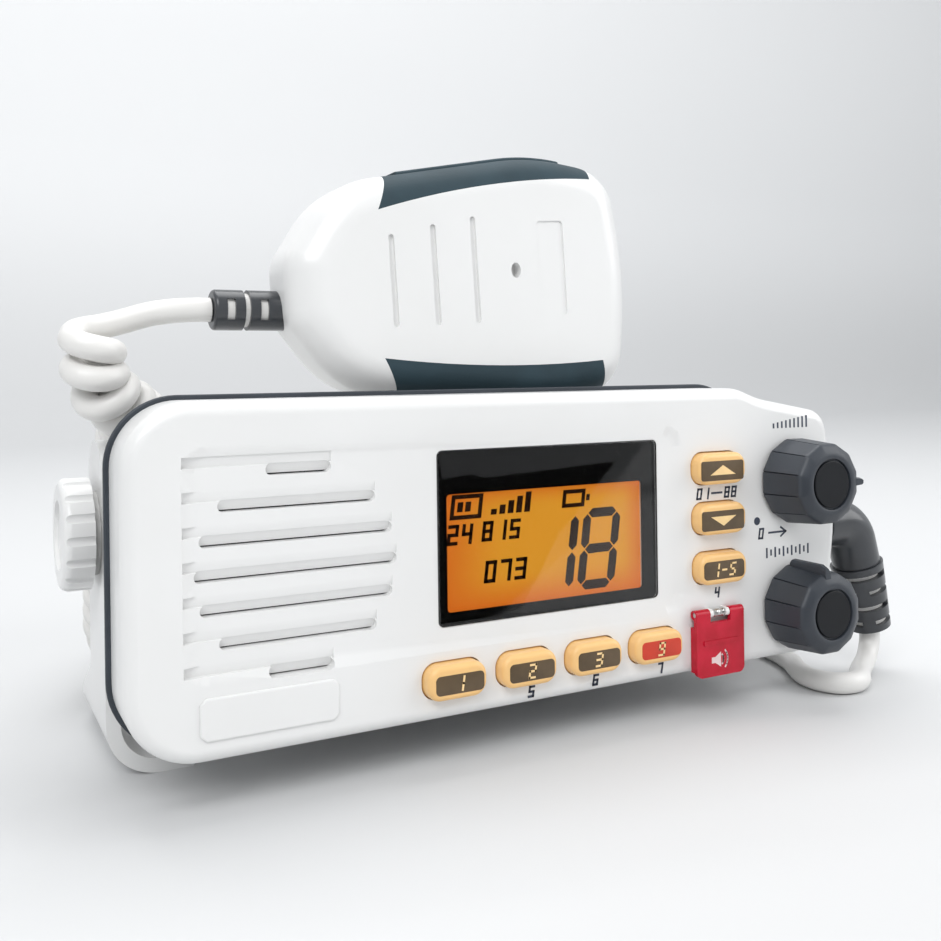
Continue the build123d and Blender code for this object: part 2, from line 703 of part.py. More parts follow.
def mic_face(grow=0.0):
    """Outline: narrow at the cord end, widest at two thirds, and slightly bowed at the far end."""
    length, half = mic_length, mic_half_width
    upper = [(0, 0.223 * half), (0.133 * length, 0.764 * half), (0.717 * length, half),
             (0.971 * length, 0.885 * half)]
    radii = [0.11 * length, 0.267 * length, 0.667 * length, 0.144 * length]
    lower = [(x, -y) for x, y in reversed(upper)]
    corners = upper + [(1.01 * length, 0)] + lower
    outline = make_face(FilletPolyline(corners, radius=radii + [1.1 * length] + radii[::-1], close=True))
    return offset(outline, grow) if grow else outline


def grip_band(side, grow=0.0):
    """Region of the microphone's outline that one grip covers; the lower one is wider."""
    length, half = mic_length, mic_half_width
    if side > 0:
        shares = ((0.231, 0.545), (0.556, 0.739), (0.878, 0.80))
    else:
        shares = ((0.223, 0.513), (0.533, 0.621), (0.878, 0.643))
    inner = [(along * length, side * (across * half - grow)) for along, across in shares]
    beyond = side * 1.43 * half
    lower = Spline(*inner)
    rest = Polyline(inner[-1], (inner[-1][0] + 6, beyond), (0.371 * length - grow, beyond), inner[0])
    return make_face([lower, rest])


def ptt_pocket():
    room = ptt_travel_room
    top = 1.4 * mic_half_width
    region = Pos((ptt_start + ptt_end) / 2, (ptt_floor - room + top) / 2) * Rectangle(
        ptt_end - ptt_start + 2 * ptt_gap, top - ptt_floor + room)
    return mic_slab(region, -ptt_half_thick - ptt_gap, ptt_half_thick + ptt_gap)


def mic_half_block(front):
    """Filled half of the microphone, with its rounded edge."""
    thick = mic_front_thick if front else mic_back_thick
    block = mic_slab(mic_face(), 0, thick) if front else mic_slab(mic_face(), -thick, 0)
    rim = block.faces().sort_by(Axis.Y)[0 if front else -1].edges()
    return fillet(rim, mic_edge_radius)


def mic_shell(block, front):
    cavity_face = mic_face(-mic_cavity_inset)
    depth = mic_cavity_depth if front else mic_back_cavity
    shell = block - (mic_slab(cavity_face, 0, depth) if front else mic_slab(cavity_face, -depth, 0))
    full = mic_front_thick + 1
    for side in (-1, 1):
        shell -= mic_slab(grip_band(side), -full, full)
    shell -= ptt_pocket()
    if front:
        hole = Pos(mic_hole_along, mic_hole_across) * Ellipse(mic_hole_radius, 1.4 * mic_hole_radius)
        shell -= mic_slab(hole, 0, full)
        for along, high in mic_slots:
            span = (high + mic_slot_low) * mic_half_width
            place = Pos(along * mic_length, high * mic_half_width - span / 2)
            slot = place * Rot(0, 0, 90) * SlotOverall(span, mic_slot_width)
            shell -= mic_slab(slot, mic_front_thick - mic_slot_depth, full)
        recess = Pos(*mic_plate_place) * rounded(*mic_plate_size, 1.0)
        shell -= mic_slab(recess, mic_front_thick - mic_plate_depth, full)
    else:
        for x, y in mic_screw_spots():
            shell -= mic_slab(Pos(x, y) * Circle(1.5), -full, -2)
        shell -= mic_slab(Pos(*mic_middle()) * Circle(stud_shank_radius), -full, -4)
    return shell


def mic_middle():
    return 0.5 * mic_length, 0.0


def mic_screw_spots():
    near, far = (0.18 * mic_length, 0.31 * mic_half_width), (0.87 * mic_length, 0.4 * mic_half_width)
    return [(x, side * y) for x, y in (near, far) for side in (-1, 1)]


def build_mic_grip(blocks):
    """Two soft grips that fill the long edges of both shells; the upper one is pierced for the lever."""
    grips = []
    full = mic_front_thick + 1
    for side in (-1, 1):
        grip = Part()
        for block in blocks:
            grip += block & mic_slab(grip_band(side), -full, full)
        if side > 0:
            grip -= ptt_pocket()
        grips.extend(grip.solids())
    return Compound(children=grips)


def build_ptt_lever():
    """Rocking bar in the upper grip, on a pin at its cord end."""
    region = Pos((ptt_start + ptt_end) / 2, (ptt_floor + ptt_reach) / 2) * Rectangle(
        ptt_end - ptt_start, ptt_reach - ptt_floor)
    bar = mic_slab(region, -ptt_half_thick, ptt_half_thick)
    bar &= mic_slab(mic_face(0.7), -ptt_half_thick, ptt_half_thick)
    edges = bar.faces().sort_by(Axis.Z)[-1].edges().filter_by(GeomType.CIRCLE)
    bar = fillet(edges, 0.8) if edges else bar
    pin_x, pin_y = ptt_pin_place()
    return bar - mic_slab(Pos(pin_x, pin_y) * Circle(ptt_pin_radius + running_gap), -20, 20)


def ptt_pin_place():
    return ptt_start + 2.6, ptt_floor + 1.2


def build_ptt_pin():
    reach = ptt_half_thick + ptt_gap
    return mic_slab(Pos(*ptt_pin_place()) * Circle(ptt_pin_radius), -reach, reach)


def build_mic_boot(shells):
    """Strain relief in two barrels, with a groove between them and two windows in each side."""
    start = mic_start_x - mic_boot_length
    centre = Vector(0, front_y + mic_depth, base_level + mic_boot_z)
    boot = side_rod(mic_boot_radius, start, mic_start_x + 3.0, centre)
    boot = fillet(boot.faces().sort_by(Axis.X)[0].edges(), 0.8)
    middle = start + mic_boot_length / 2
    boot -= side_rod(mic_boot_radius + 1, middle - 0.6, middle + 0.6, centre) - side_rod(
        mic_boot_radius - 1.2, middle - 1, middle + 1, centre)
    for offset_x in (-3.7, 3.7):
        window = Pos(middle + offset_x, centre.Y, centre.Z) * Box(1.8, 2 * mic_boot_radius + 2, 4.6)
        core = side_rod(mic_boot_radius - 1.3, start, mic_start_x, centre)
        boot -= window - core
    for shell in shells:
        boot -= shell
    return boot


def build_mic_capsule():
    spot = Pos(mic_hole_along, mic_hole_across) * Circle(capsule_radius)
    return mic_slab(spot, mic_cavity_depth - capsule_thick, mic_cavity_depth)


def build_mic_board():
    region = Pos(*mic_middle()) * rounded(mic_board_length, mic_board_width, 3.0)
    return mic_slab(region, mic_cavity_depth - capsule_thick - board_thick, mic_cavity_depth - capsule_thick)


def build_mic_screws():
    screws = []
    for x, y in mic_screw_spots():
        head = mic_slab(Pos(x, y) * Circle(2.6), -mic_back_thick - 0.0, -mic_back_thick + 0.0 - 1.0)
        shank = mic_slab(Pos(x, y) * Circle(1.5), -mic_back_thick, -3.5)
        screws.append(head + shank)
    return Compound(children=screws)


def build_hang_stud():
    back = -mic_back_thick
    spot = Pos(*mic_middle())
    stud = mic_slab(spot * Circle(stud_neck_radius), back - stud_neck_length, back)
    head = mic_slab(spot * Circle(stud_head_radius), back - stud_neck_length - stud_head_thick,
                    back - stud_neck_length)
    head = fillet(head.faces().sort_by(Axis.Y)[-1].edges(), 0.8)
    return stud + head + mic_slab(spot * Circle(stud_shank_radius), back, back + 5.0)


# ---------------------------------------------------------------- cord group

coil_route = [
    (-89.8, -35.0, 95.2), (-89.6, -35.0, 90.0), (-87.2, -35.0, 85.5), (-83.0, -32.5, 82.0),
    (-79.5, -25.0, 79.8), (-78.6, -13.0, 78.6), (-78.4, -1.0, 73.5), (-78.3, 9.0, 60.0),
    (-78.3, 17.5, 44.0), (-78.4, 28.0, 26.0), (-77.5, 39.0, 12.0), (-66.0, 49.0, 8.0),
    (-50.0, 53.5, 7.9), (-30.0, 54.5, 7.9), (-12.0, 53.0, 7.9),
]
lead_route = [
    (109.8, -56.0, 12.4), (109.7, -56.1, 8.6), (107.8, -57.0, 5.2), (104.0, -59.2, 3.4),
    (98.0, -62.6, 2.8), (92.2, -68.6, 2.8), (85.3, -67.9, 2.8), (82.3, -61.3, 2.8),
    (84.5, -54.3, 2.8), (89.9, -46.8, 2.8), (94.2, -34.0, 2.8), (95.0, -18.0, 2.8),
    (95.2, 2.0, 2.8), (92.5, 22.0, 2.8), (84.0, 39.0, 2.8), (68.0, 50.5, 2.8),
    (49.0, 55.0, 2.8), (30.0, 54.0, 3.4), (13.5, 51.5, 5.6), (-0.1, 51.35, 7.9),
    (-11.7, 52.96, 7.9),
]
mic_end_route = [
    (-65.3, -31.0, 98.2), (-73.0, -31.0, 98.8), (-81.0, -32.5, 98.9), (-88.5, -35.0, 98.3),
]


def route_radii(points):
    """Largest arc at each corner: 0.45 of the shorter run over the tangent of half the turn."""
    radii = []
    for before, corner, after in zip(points, points[1:], points[2:]):
        incoming = Vector(corner) - Vector(before)
        outgoing = Vector(after) - Vector(corner)
        half_turn = math.radians(incoming.get_angle(outgoing) / 2)
        radii.append(0.45 * min(incoming.length, outgoing.length) / math.tan(half_turn))
    return radii


def cord_tube(points, diameter, name):
    radii = route_radii(points)
    line = FilletPolyline(points, radius=radii)
    start = Plane(origin=line @ 0, z_dir=line % 0)
    tube = sweep(start * Circle(diameter / 2), path=line)
    section_volume = math.pi * diameter ** 2 / 4 * line.length
    print(f"{name}: length {line.length:.1f}, smallest radius {min(radii):.1f}, "
          f"volume over section times length {tube.volume / section_volume:.4f}")
    print("   radii", " ".join(f"{radius:.1f}" for radius in radii))
    return tube


def elbow_corner():
    return Vector(half_panel + elbow_reach, front_y + elbow_depth, base_level + elbow_z)


def boot_top():
    """The elbow and its boot share one straight leg, which ends where the cord leaves."""
    corner = elbow_corner()
    return corner + (Vector(*lead_route[0]) - corner) * boot_start


def elbow_tube(radius, start_x):
    corner = elbow_corner()
    line = FilletPolyline([(start_x, corner.Y, corner.Z), corner, boot_top()], radius=elbow_bend)
    return sweep(Plane(origin=line @ 0, z_dir=line % 0) * Circle(radius), path=line)


def build_cord_elbow():
    """Moulded elbow that turns the cord down beside the panel; its thinner root fills the panel's hole."""
    return elbow_tube(elbow_radius - 1.5, half_panel - panel_wall) + elbow_tube(elbow_radius, half_panel + 0.4)


def build_cord_boot():
    """Tapered boot with cut rings, between the elbow and the cord."""
    top, end = boot_top(), Vector(*lead_route[0])
    length = (end - top).length
    place = Plane(origin=top, z_dir=(end - top))
    cone = loft([place * Circle(boot_top_radius), place * Pos(0, 0, length) * Circle(boot_end_radius)])
    pitch = length / (boot_rib_count + 0.2)
    for number in range(boot_rib_count):
        middle = pitch * (number + 0.6)
        ring = Circle(boot_top_radius + 1) - Circle(cord_diameter / 2 + 0.8)
        ring -= Rot(0, 0, 90 * number + 45) * Rectangle(3 * boot_top_radius, boot_bridge_width)
        cone -= extrude(place * Pos(0, 0, middle - boot_slot_width / 2) * ring, boot_slot_width)
    leaving = Plane(origin=end, z_dir=Vector(*lead_route[1]) - end)
    return cone - extrude(leaving * Circle(cord_diameter / 2 + 0.2), 3.0)


# ---------------------------------------------------------------- write the nodes

def main():
    os.makedirs("parts", exist_ok=True)
    front_block, back_block = mic_half_block(True), mic_half_block(False)
    nodes = {
        "front_panel": build_front_panel(),
        "panel_gasket": build_panel_gasket(),
        "rear_housing": build_rear_housing(),
        "heat_sink": build_heat_sink(),
        "housing_screws": build_housing_screws(),
        "thread_inserts": build_thread_inserts(),
        "display_window": build_display_window(),
        "lcd_panel": build_lcd_panel(),
        "lcd_holder": build_lcd_holder(),
        "front_board": build_front_board(),
        "key_switches": build_key_switches(),
        "main_board": build_main_board(),
        "speaker_driver": build_speaker(),
        "name_plate": build_name_plate(),
        "antenna_socket": build_antenna_socket(),
        "rear_glands": build_rear_glands(),
        "siren_hinge_pin": build_siren_pin(),
        "siren_spring": build_siren_spring(),
        "siren_cover": build_siren_cover(),
        "siren_button": build_siren_button(),
        "gimbal_bracket": build_gimbal_bracket(),
        "bracket_pads": build_bracket_pads(),
        "mic_front_shell": mic_shell(front_block, True),
        "mic_back_shell": mic_shell(back_block, False),
        "mic_grip": build_mic_grip((front_block, back_block)),
        "ptt_lever": build_ptt_lever(),
        "ptt_pin": build_ptt_pin(),
        "mic_boot": build_mic_boot((front_block, back_block)),
        "mic_capsule": build_mic_capsule(),
        "mic_board": build_mic_board(),
        "mic_screws": build_mic_screws(),
        "mic_hang_stud": build_hang_stud(),
        "cord_elbow": build_cord_elbow(),
        "cord_boot": build_cord_boot(),
        "cord_lead": cord_tube(lead_route, cord_diameter, "cord_lead"),
        "cord_coil": cord_tube(coil_route, coil_diameter, "cord_coil"),
        "cord_mic_end": cord_tube(mic_end_route, cord_diameter, "cord_mic_end"),
    }
    for name, x, z, width, height in key_places():
        nodes[name] = build_key(x, z, width, height)
    controls = (("volume", volume_place, volume_angle), ("squelch", squelch_place, squelch_angle))
    for label, place, angle in controls:
        nodes[f"{label}_control"] = build_control(place)
        nodes[f"{label}_shaft"] = build_control_shaft(place)
        nodes[f"{label}_knob"] = build_knob(place, angle)
        nodes[f"{label}_knob_cap"] = build_knob_cap(place)
    for label, side in (("left", -1), ("right", 1)):
        nodes[f"{label}_clamp_washer"] = build_clamp_washer(side)
        nodes[f"{label}_clamp_stud"] = build_clamp_stud(side)
        nodes[f"{label}_clamp_knob"] = build_clamp_knob(side)
    for name, shape in nodes.items():
        save(shape, name)


main()
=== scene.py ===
import bmesh
import bpy
import json
import math
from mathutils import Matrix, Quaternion, Vector

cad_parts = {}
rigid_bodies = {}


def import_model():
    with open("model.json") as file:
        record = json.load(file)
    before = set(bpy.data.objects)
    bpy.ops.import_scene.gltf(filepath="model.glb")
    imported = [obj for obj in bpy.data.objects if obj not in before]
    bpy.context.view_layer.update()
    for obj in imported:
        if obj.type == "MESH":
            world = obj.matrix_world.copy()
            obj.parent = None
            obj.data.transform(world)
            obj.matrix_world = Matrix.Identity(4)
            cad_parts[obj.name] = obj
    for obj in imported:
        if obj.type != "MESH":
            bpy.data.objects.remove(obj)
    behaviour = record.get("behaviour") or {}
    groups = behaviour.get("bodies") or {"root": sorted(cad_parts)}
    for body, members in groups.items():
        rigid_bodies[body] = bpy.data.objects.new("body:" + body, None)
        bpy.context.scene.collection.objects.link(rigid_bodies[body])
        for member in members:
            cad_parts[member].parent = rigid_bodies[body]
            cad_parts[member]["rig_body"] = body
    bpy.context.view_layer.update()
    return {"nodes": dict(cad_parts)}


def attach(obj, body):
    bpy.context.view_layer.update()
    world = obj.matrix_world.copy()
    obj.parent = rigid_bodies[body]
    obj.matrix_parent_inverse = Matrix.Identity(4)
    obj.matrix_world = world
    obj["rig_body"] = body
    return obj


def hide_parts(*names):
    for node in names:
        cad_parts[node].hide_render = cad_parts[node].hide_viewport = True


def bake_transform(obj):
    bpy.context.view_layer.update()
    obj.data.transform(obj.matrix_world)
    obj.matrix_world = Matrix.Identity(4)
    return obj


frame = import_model()
MM = 0.001


# ------------------------------------------------------------------ the view
# A level camera a hand's breadth above the table, in front of the speaker end of the set.
# It is turned 27.7 degrees to the right and rolled by under a degree.
looking = Vector((0.465, 0.885, 0.0))
roll = -0.0135
view = bpy.data.objects.new("view", bpy.data.cameras.new("view"))
view.data.lens = 39.02
view.data.sensor_width = 36.0
view.data.shift_y = -0.1017
view.data.clip_start = 0.01
view.location = (-0.1188, -0.2553, 0.0832)
view.rotation_mode = "QUATERNION"
view.rotation_quaternion = looking.to_track_quat("-Z", "Y") @ Quaternion((0, 0, 1), roll)
bpy.context.scene.collection.objects.link(view)
bpy.context.scene.camera = view
bpy.context.scene.view_settings.view_transform = "Standard"


# ------------------------------------------------------------------ table and light
# A pale paper sweep under and behind the set, with a wide soft light over each shoulder.
# A finish is one Principled shader; its nodes and the arithmetic between them are made here.
class Wire:
    """One value on its way through a node tree. Arithmetic on it makes Math nodes."""

    def __init__(self, nodes, socket):
        self.nodes = nodes
        self.socket = socket

    def maths(self, operation, first, second):
        sockets = {0: first, 1: second}
        return self.nodes.add("ShaderNodeMath", {"operation": operation}, sockets)

    def __add__(self, other):
        return self.maths("ADD", self, other)

    def __radd__(self, other):
        return self.maths("ADD", other, self)

    def __sub__(self, other):
        return self.maths("SUBTRACT", self, other)

    def __rsub__(self, other):
        return self.maths("SUBTRACT", other, self)

    def __mul__(self, other):
        return self.maths("MULTIPLY", self, other)

    def __rmul__(self, other):
        return self.maths("MULTIPLY", other, self)

    def __truediv__(self, other):
        return self.maths("DIVIDE", self, other)

    def __rtruediv__(self, other):
        return self.maths("DIVIDE", other, self)

    def __pow__(self, other):
        return self.maths("POWER", self, other)

    def __rpow__(self, other):
        return self.maths("POWER", other, self)

    def most(self, other):
        """The larger of two values."""
        return self.maths("MAXIMUM", self, other)

    def between(self, low, high):
        """0 below low, 1 above high, and a smooth step from one to the other."""
        settings = {"interpolation_type": "SMOOTHSTEP"}
        sockets = {"Value": self, "From Min": low, "From Max": high}
        return self.nodes.add("ShaderNodeMapRange", settings, sockets)


class Nodes:
    """The nodes of one tree."""

    def __init__(self, tree):
        self.tree = tree

    def feed(self, socket, value):
        """Gives a socket a plain value or a wire, or each of a list of wires."""
        for each in value if isinstance(value, list) else [value]:
            if isinstance(each, Wire):
                self.tree.links.new(each.socket, socket)
            else:
                socket.default_value = each

    def add(self, kind, settings=None, sockets=None, output=0):
        """Makes one node: its settings, then what feeds its sockets."""
        node = self.tree.nodes.new(kind)
        for setting, value in (settings or {}).items():
            setattr(node, setting, value)
        for socket, value in (sockets or {}).items():
            self.feed(node.inputs[socket], value)
        return Wire(self, node.outputs[output])


class Finish(Nodes):
    """A moulded, cast, plated or printed surface."""

    def __init__(self, name, colour, roughness, metallic=0.0, fixed=None):
        self.material = bpy.data.materials.new(name)
        self.material.use_nodes = True
        super().__init__(self.material.node_tree)
        self.shader = self.tree.nodes["Principled BSDF"]
        self.colour = colour
        self.set("Base Color", (*colour, 1.0))
        self.set("Roughness", roughness)
        self.set("Metallic", metallic)
        for socket, value in (fixed or {}).items():
            self.set(socket, value)

    def set(self, socket, value):
        self.feed(self.shader.inputs[socket], value)

    def place(self):
        return self.add("ShaderNodeTexCoord", output="Object")

    def axis(self, letter):
        """One coordinate of a point on the piece, in metres."""
        return self.add("ShaderNodeSeparateXYZ", None, {0: self.place()}, letter)

    def noise(self, scale, detail=2.0, roughness=0.5):
        sockets = {"Scale": scale, "Detail": detail, "Roughness": roughness}
        sockets["Vector"] = self.place()
        return self.add("ShaderNodeTexNoise", None, sockets)

    def mix(self, mask, first, second):
        sockets = {0: mask, 6: (*first, 1.0), 7: (*second, 1.0)}
        return self.add("ShaderNodeMix", {"data_type": "RGBA"}, sockets, 2)

    def bump(self, height, strength, distance):
        sockets = {"Height": height, "Strength": strength, "Distance": distance}
        self.set("Normal", self.add("ShaderNodeBump", None, sockets))

    def uneven(self, scale, amount, tint=(0.0, 0.0, 0.0)):
        """Cloudy change of shade: lighter and darker by amount, with a tint in the dark parts."""
        cloud = self.noise(scale, 3.0).between(0.3, 0.7)
        light = [min(1.0, c * (1.0 + amount)) for c in self.colour]
        dark = [max(0.0, c * (1.0 - amount) + t) for c, t in zip(self.colour, tint)]
        self.set("Base Color", self.mix(cloud, dark, light))


def solid(name, vertices, faces, finish=None, smooth=35.0):
    """A mesh piece at the origin, smooth but for corners sharper than the angle given."""
    mesh = bpy.data.meshes.new(name)
    mesh.from_pydata([tuple(v) for v in vertices], [], faces)
    mesh.polygons.foreach_set("use_smooth", [True] * len(mesh.polygons))
    mesh.set_sharp_from_angle(angle=math.radians(smooth))
    piece = bpy.data.objects.new(name, mesh)
    bpy.context.scene.collection.objects.link(piece)
    if finish:
        mesh.materials.append(finish.material)
    return piece


sweep_front, sweep_back, sweep_side, sweep_top, sweep_curve = -1.6, 1.1, 3.4, 2.4, 0.5
sweep_steps = 16
profile = [(sweep_front, 0.0)]
for step in range(sweep_steps + 1):
    turn = math.radians(90 * step / sweep_steps)
    y = sweep_back + sweep_curve * math.sin(turn)
    profile.append((y, sweep_curve * (1 - math.cos(turn))))
profile.append((sweep_back + sweep_curve, sweep_top))
sweep_points = [(x, y, z) for y, z in profile for x in (-sweep_side, sweep_side)]
sweep_faces = [(2 * i, 2 * i + 1, 2 * i + 3, 2 * i + 2) for i in range(len(profile) - 1)]
# Painted light and shade: the one paper is painted grey on the floor and blends by height to a
# lighter white up the backdrop
painted_floor_shade, painted_backdrop_light = (0.64, 0.645, 0.65), (0.88, 0.885, 0.89)
paper = Finish("paper", painted_floor_shade, 0.8)
paper.set("Base Color", paper.mix(paper.axis("Z").between(0.02, 0.5), painted_floor_shade, painted_backdrop_light))
paper.bump(paper.noise(700.0, 3.0), 0.05, 0.0002)
solid("paper_sweep", sweep_points, sweep_faces, paper)

# The room is a plain white to the eye and in polished things, and a soft grey light elsewhere
sky_light, sky_seen = 0.45, 0.80
world = bpy.data.worlds.new("studio")
bpy.context.scene.world = world
world.use_nodes = True
sky = world.node_tree.nodes["Background"]
sky.inputs["Color"].default_value = (0.94, 0.97, 1.0, 1.0)
studio = Nodes(world.node_tree)
seen = studio.add("ShaderNodeLightPath", output="Is Camera Ray")
for kind in ("Is Glossy Ray", "Is Transmission Ray"):
    seen = seen.most(studio.add("ShaderNodeLightPath", output=kind))
studio.feed(sky.inputs["Strength"], sky_light + (sky_seen - sky_light) * seen)


def lamp(name, place, aim, size, power):
    light = bpy.data.lights.new(name, "AREA")
    light.shape = "RECTANGLE"
    light.size, light.size_y = size
    light.energy = power
    holder = bpy.data.objects.new(name, light)
    holder.location = place
    holder.rotation_mode = "QUATERNION"
    holder.rotation_quaternion = (Vector(aim) - Vector(place)).to_track_quat("-Z", "Y")
    bpy.context.scene.collection.objects.link(holder)


set_middle = (0.0, 0.0, 0.05)
lamp("key", (-0.55, -0.75, 0.85), set_middle, (0.8, 0.6), 8.0)
lamp("fill", (0.85, -0.55, 0.55), set_middle, (0.7, 0.7), 4.4)
lamp("top", (0.05, 0.15, 0.95), set_middle, (0.9, 0.6), 5.2)
lamp("backdrop wash", (0.7, 0.6, 1.4), (0.9, 1.6, 0.5), (4.6, 0.5), 17.0)


# ------------------------------------------------------------------ microphone cord
# A curly PVC-jacketed cord, 5.4 mm thick. Its straight lead leaves the boot, loops and runs
# under the set; behind the set it winds into the coil that climbs to the microphone's boot.
cord_diameter = 5.4
coil_radius, coil_pitch = 4.2, 5.7
coil_wobble, wobble_rate = 0.03, 230.0  # share of the radius, and radians to a metre
coil_opening = 16.0  # length in which the first turns grow to their full size
coil_step, path_step = 0.27, 0.85  # how far apart the helix and its tube are worked out
tail_lead = 5.0  # how far the cord keeps on in the last turn's direction
lead_route = [
    (109.8, -56, 12.4), (109.7, -56.1, 8.6), (107.8, -57, 5.2), (104, -59.2, 3.4),
    (98, -62.6, 2.8), (92.2, -68.6, 2.8), (85.3, -67.9, 2.8), (82.3, -61.3, 2.8),
    (84.5, -54.3, 2.8), (89.9, -46.8, 2.8), (94.2, -34, 2.8), (95, -18, 2.8),
    (95.2, 2, 2.8), (92.5, 22, 2.8), (84, 39, 2.8), (68, 50.5, 2.8), (49, 55, 2.8),
    (30, 54, 3.4), (13.5, 51.5, 5.6), (-0.1, 51.35, 7.9), (-11.7, 52.96, 7.9),
]
coil_route = [
    (-12, 53, 7.9), (-30, 54.5, 7.9), (-50, 53.5, 7.9), (-66, 49, 8), (-77.5, 39, 12),
    (-78.4, 28, 26), (-78.3, 17.5, 44), (-78.3, 9, 60), (-78.4, -1, 71.5),
    (-78.4, -13, 75.0), (-79.2, -23, 75.0), (-83.5, -29.5, 77.4), (-88.8, -33, 81.4),
    (-90.2, -34.6, 86.6), (-90.1, -35, 91.8),
]
mic_end_route = [(-86.0, -28.6, 94.6), (-75, -31, 98.2), (-65.3, -31, 98.2)]


def spline_line(name, route):
    """Points along the smooth line of a route, read from its NURBS spline."""
    curve = bpy.data.curves.new(name, "CURVE")
    curve.dimensions = "3D"
    curve.resolution_u = 12
    spline = curve.splines.new("NURBS")
    spline.points.add(len(route) - 1)
    for point, place in zip(spline.points, route):
        point.co = (*(Vector(place) * MM), 1.0)
    spline.order_u = 3
    spline.use_endpoint_u = True
    holder = bpy.data.objects.new(name, curve)
    bpy.context.scene.collection.objects.link(holder)
    mesh = bpy.data.meshes.new_from_object(holder)
    line = [vertex.co.copy() for vertex in mesh.vertices]
    bpy.data.objects.remove(holder)
    bpy.data.meshes.remove(mesh)
    return line


def lengths_along(line):
    total = [0.0]
    for before, after in zip(line, line[1:]):
        total.append(total[-1] + (after - before).length)
    return total


def evenly(line, step):
    """The same line with its points a step apart."""
    total = lengths_along(line)
    count = max(2, round(total[-1] / step))
    points, index = [], 0
    for i in range(count + 1):
        wanted = total[-1] * i / count
        while index < len(line) - 2 and total[index + 1] < wanted:
            index += 1
        share = (wanted - total[index]) / (total[index + 1] - total[index])
        points.append(line[index].lerp(line[index + 1], share))
    return points


def carried_frames(line):
    """A direction along, and two across, at each point of a line, without twist."""
    along = []
    for i in range(len(line)):
        along.append((line[min(i + 1, len(line) - 1)] - line[max(i - 1, 0)]).normalized())
    across = along[0].orthogonal().normalized()
    frames = []
    for direction in along:
        across = (across - direction * across.dot(direction)).normalized()
        frames.append((direction, across, direction.cross(across)))
    return frames


def skin(rings):
    """Vertices and faces of a surface through rings of points, with both ends capped."""
    count = len(rings[0])
    vertices = [point for ring in rings for point in ring]
    faces = []
    for i in range(len(rings) - 1):
        for j in range(count):
            a = i * count + j
            b = i * count + (j + 1) % count
            faces.append((a, b, b + count, a + count))
    faces.append(tuple(reversed(range(count))))
    faces.append(tuple(range((len(rings) - 1) * count, len(rings) * count)))
    return vertices, faces


def tube(line, start_radius, end_radius, sides):
    """A round tube along a line, which may taper from its start to its end."""
    rings = []
    for i, (point, (_, across, other)) in enumerate(zip(line, carried_frames(line))):
        share = i / (len(line) - 1)
        radius = (start_radius * (1 - share) + end_radius * share) * MM
        ring = []
        for j in range(sides):
            turn = 2 * math.pi * j / sides
            ring.append(point + (across * math.cos(turn) + other * math.sin(turn)) * radius)
        rings.append(ring)
    return skin(rings)


def curled(line, start):
    """The line wound into a helix after a length, whose last turn ends at its left."""
    total = lengths_along(line)
    frames = carried_frames(line)
    left = Vector((-looking.y, looking.x, 0.0))
    last_turn = math.atan2(-frames[-1][2].dot(left), frames[-1][1].dot(left)) / (2 * math.pi)
    turns = round((total[-1] - start) / (coil_pitch * MM) - last_turn) + last_turn
    points = []
    for point, along, (_, across, other) in zip(line, total, frames):
        swell = min(max((along - start) / (coil_opening * MM), 0.0), 1.0)
        radius = coil_radius * MM * swell * swell * (3 - 2 * swell)
        radius *= 1.0 + coil_wobble * math.sin(along * wobble_rate)
        turn = 2 * math.pi * turns * max(along - start, 0.0) / (total[-1] - start)
        points.append(point + (across * math.cos(turn) - other * math.sin(turn)) * radius)
    return points


cord_line = spline_line("cord_route", lead_route + coil_route)
lead_length = lengths_along(spline_line("lead_only", lead_route))[-1]
coil_line = curled(evenly(cord_line, coil_step * MM), lead_length)
leaving = (coil_line[-1] - coil_line[-4]).normalized()
coil_end = coil_line[-1] / MM
tail_line = spline_line("tail", [coil_end, coil_end + leaving * tail_lead] + mic_end_route)
cord_path = evenly(coil_line + tail_line[1:], path_step * MM)
cord_length = round(lengths_along(cord_path)[-1], 4)

jacket = Finish("cord_jacket", (0.75, 0.74, 0.72), 0.42, fixed={"Coat Weight": 0.15})
jacket.uneven(60.0, 0.03, (0.004, 0.003, 0.0))
jacket.bump(jacket.noise(1400.0, 2.0), 0.12, 0.0001)

cord_radius = cord_diameter / 2
cord = solid("curly_cord", *tube(cord_path, cord_radius, cord_radius, 14), jacket, 60.0)
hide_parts("cord_lead", "cord_coil", "cord_mic_end")
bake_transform(cord)


# ------------------------------------------------------------------ front panel
# A moulded shell of gloss white plastic, with a sloping tray for the grille and the display.
# Seven louvres, each with a shallow scoop over it, are moulded in front of the speaker.
def settle(piece):
    """Turns what the modifiers make into the piece's own plain mesh."""
    bpy.context.view_layer.update()
    graph = bpy.context.evaluated_depsgraph_get()
    mesh = bpy.data.meshes.new_from_object(piece.evaluated_get(graph), depsgraph=graph)
    piece.modifiers.clear()
    piece.data = mesh
    mesh.name = piece.name


def round_over(piece, width, angle):
    """Rounds the corners of a piece that are sharper than an angle."""
    bevel = piece.modifiers.new("eased corners", "BEVEL")
    bevel.width = width * MM
    bevel.segments = 2
    bevel.limit_method = "ANGLE"
    bevel.angle_limit = math.radians(angle)


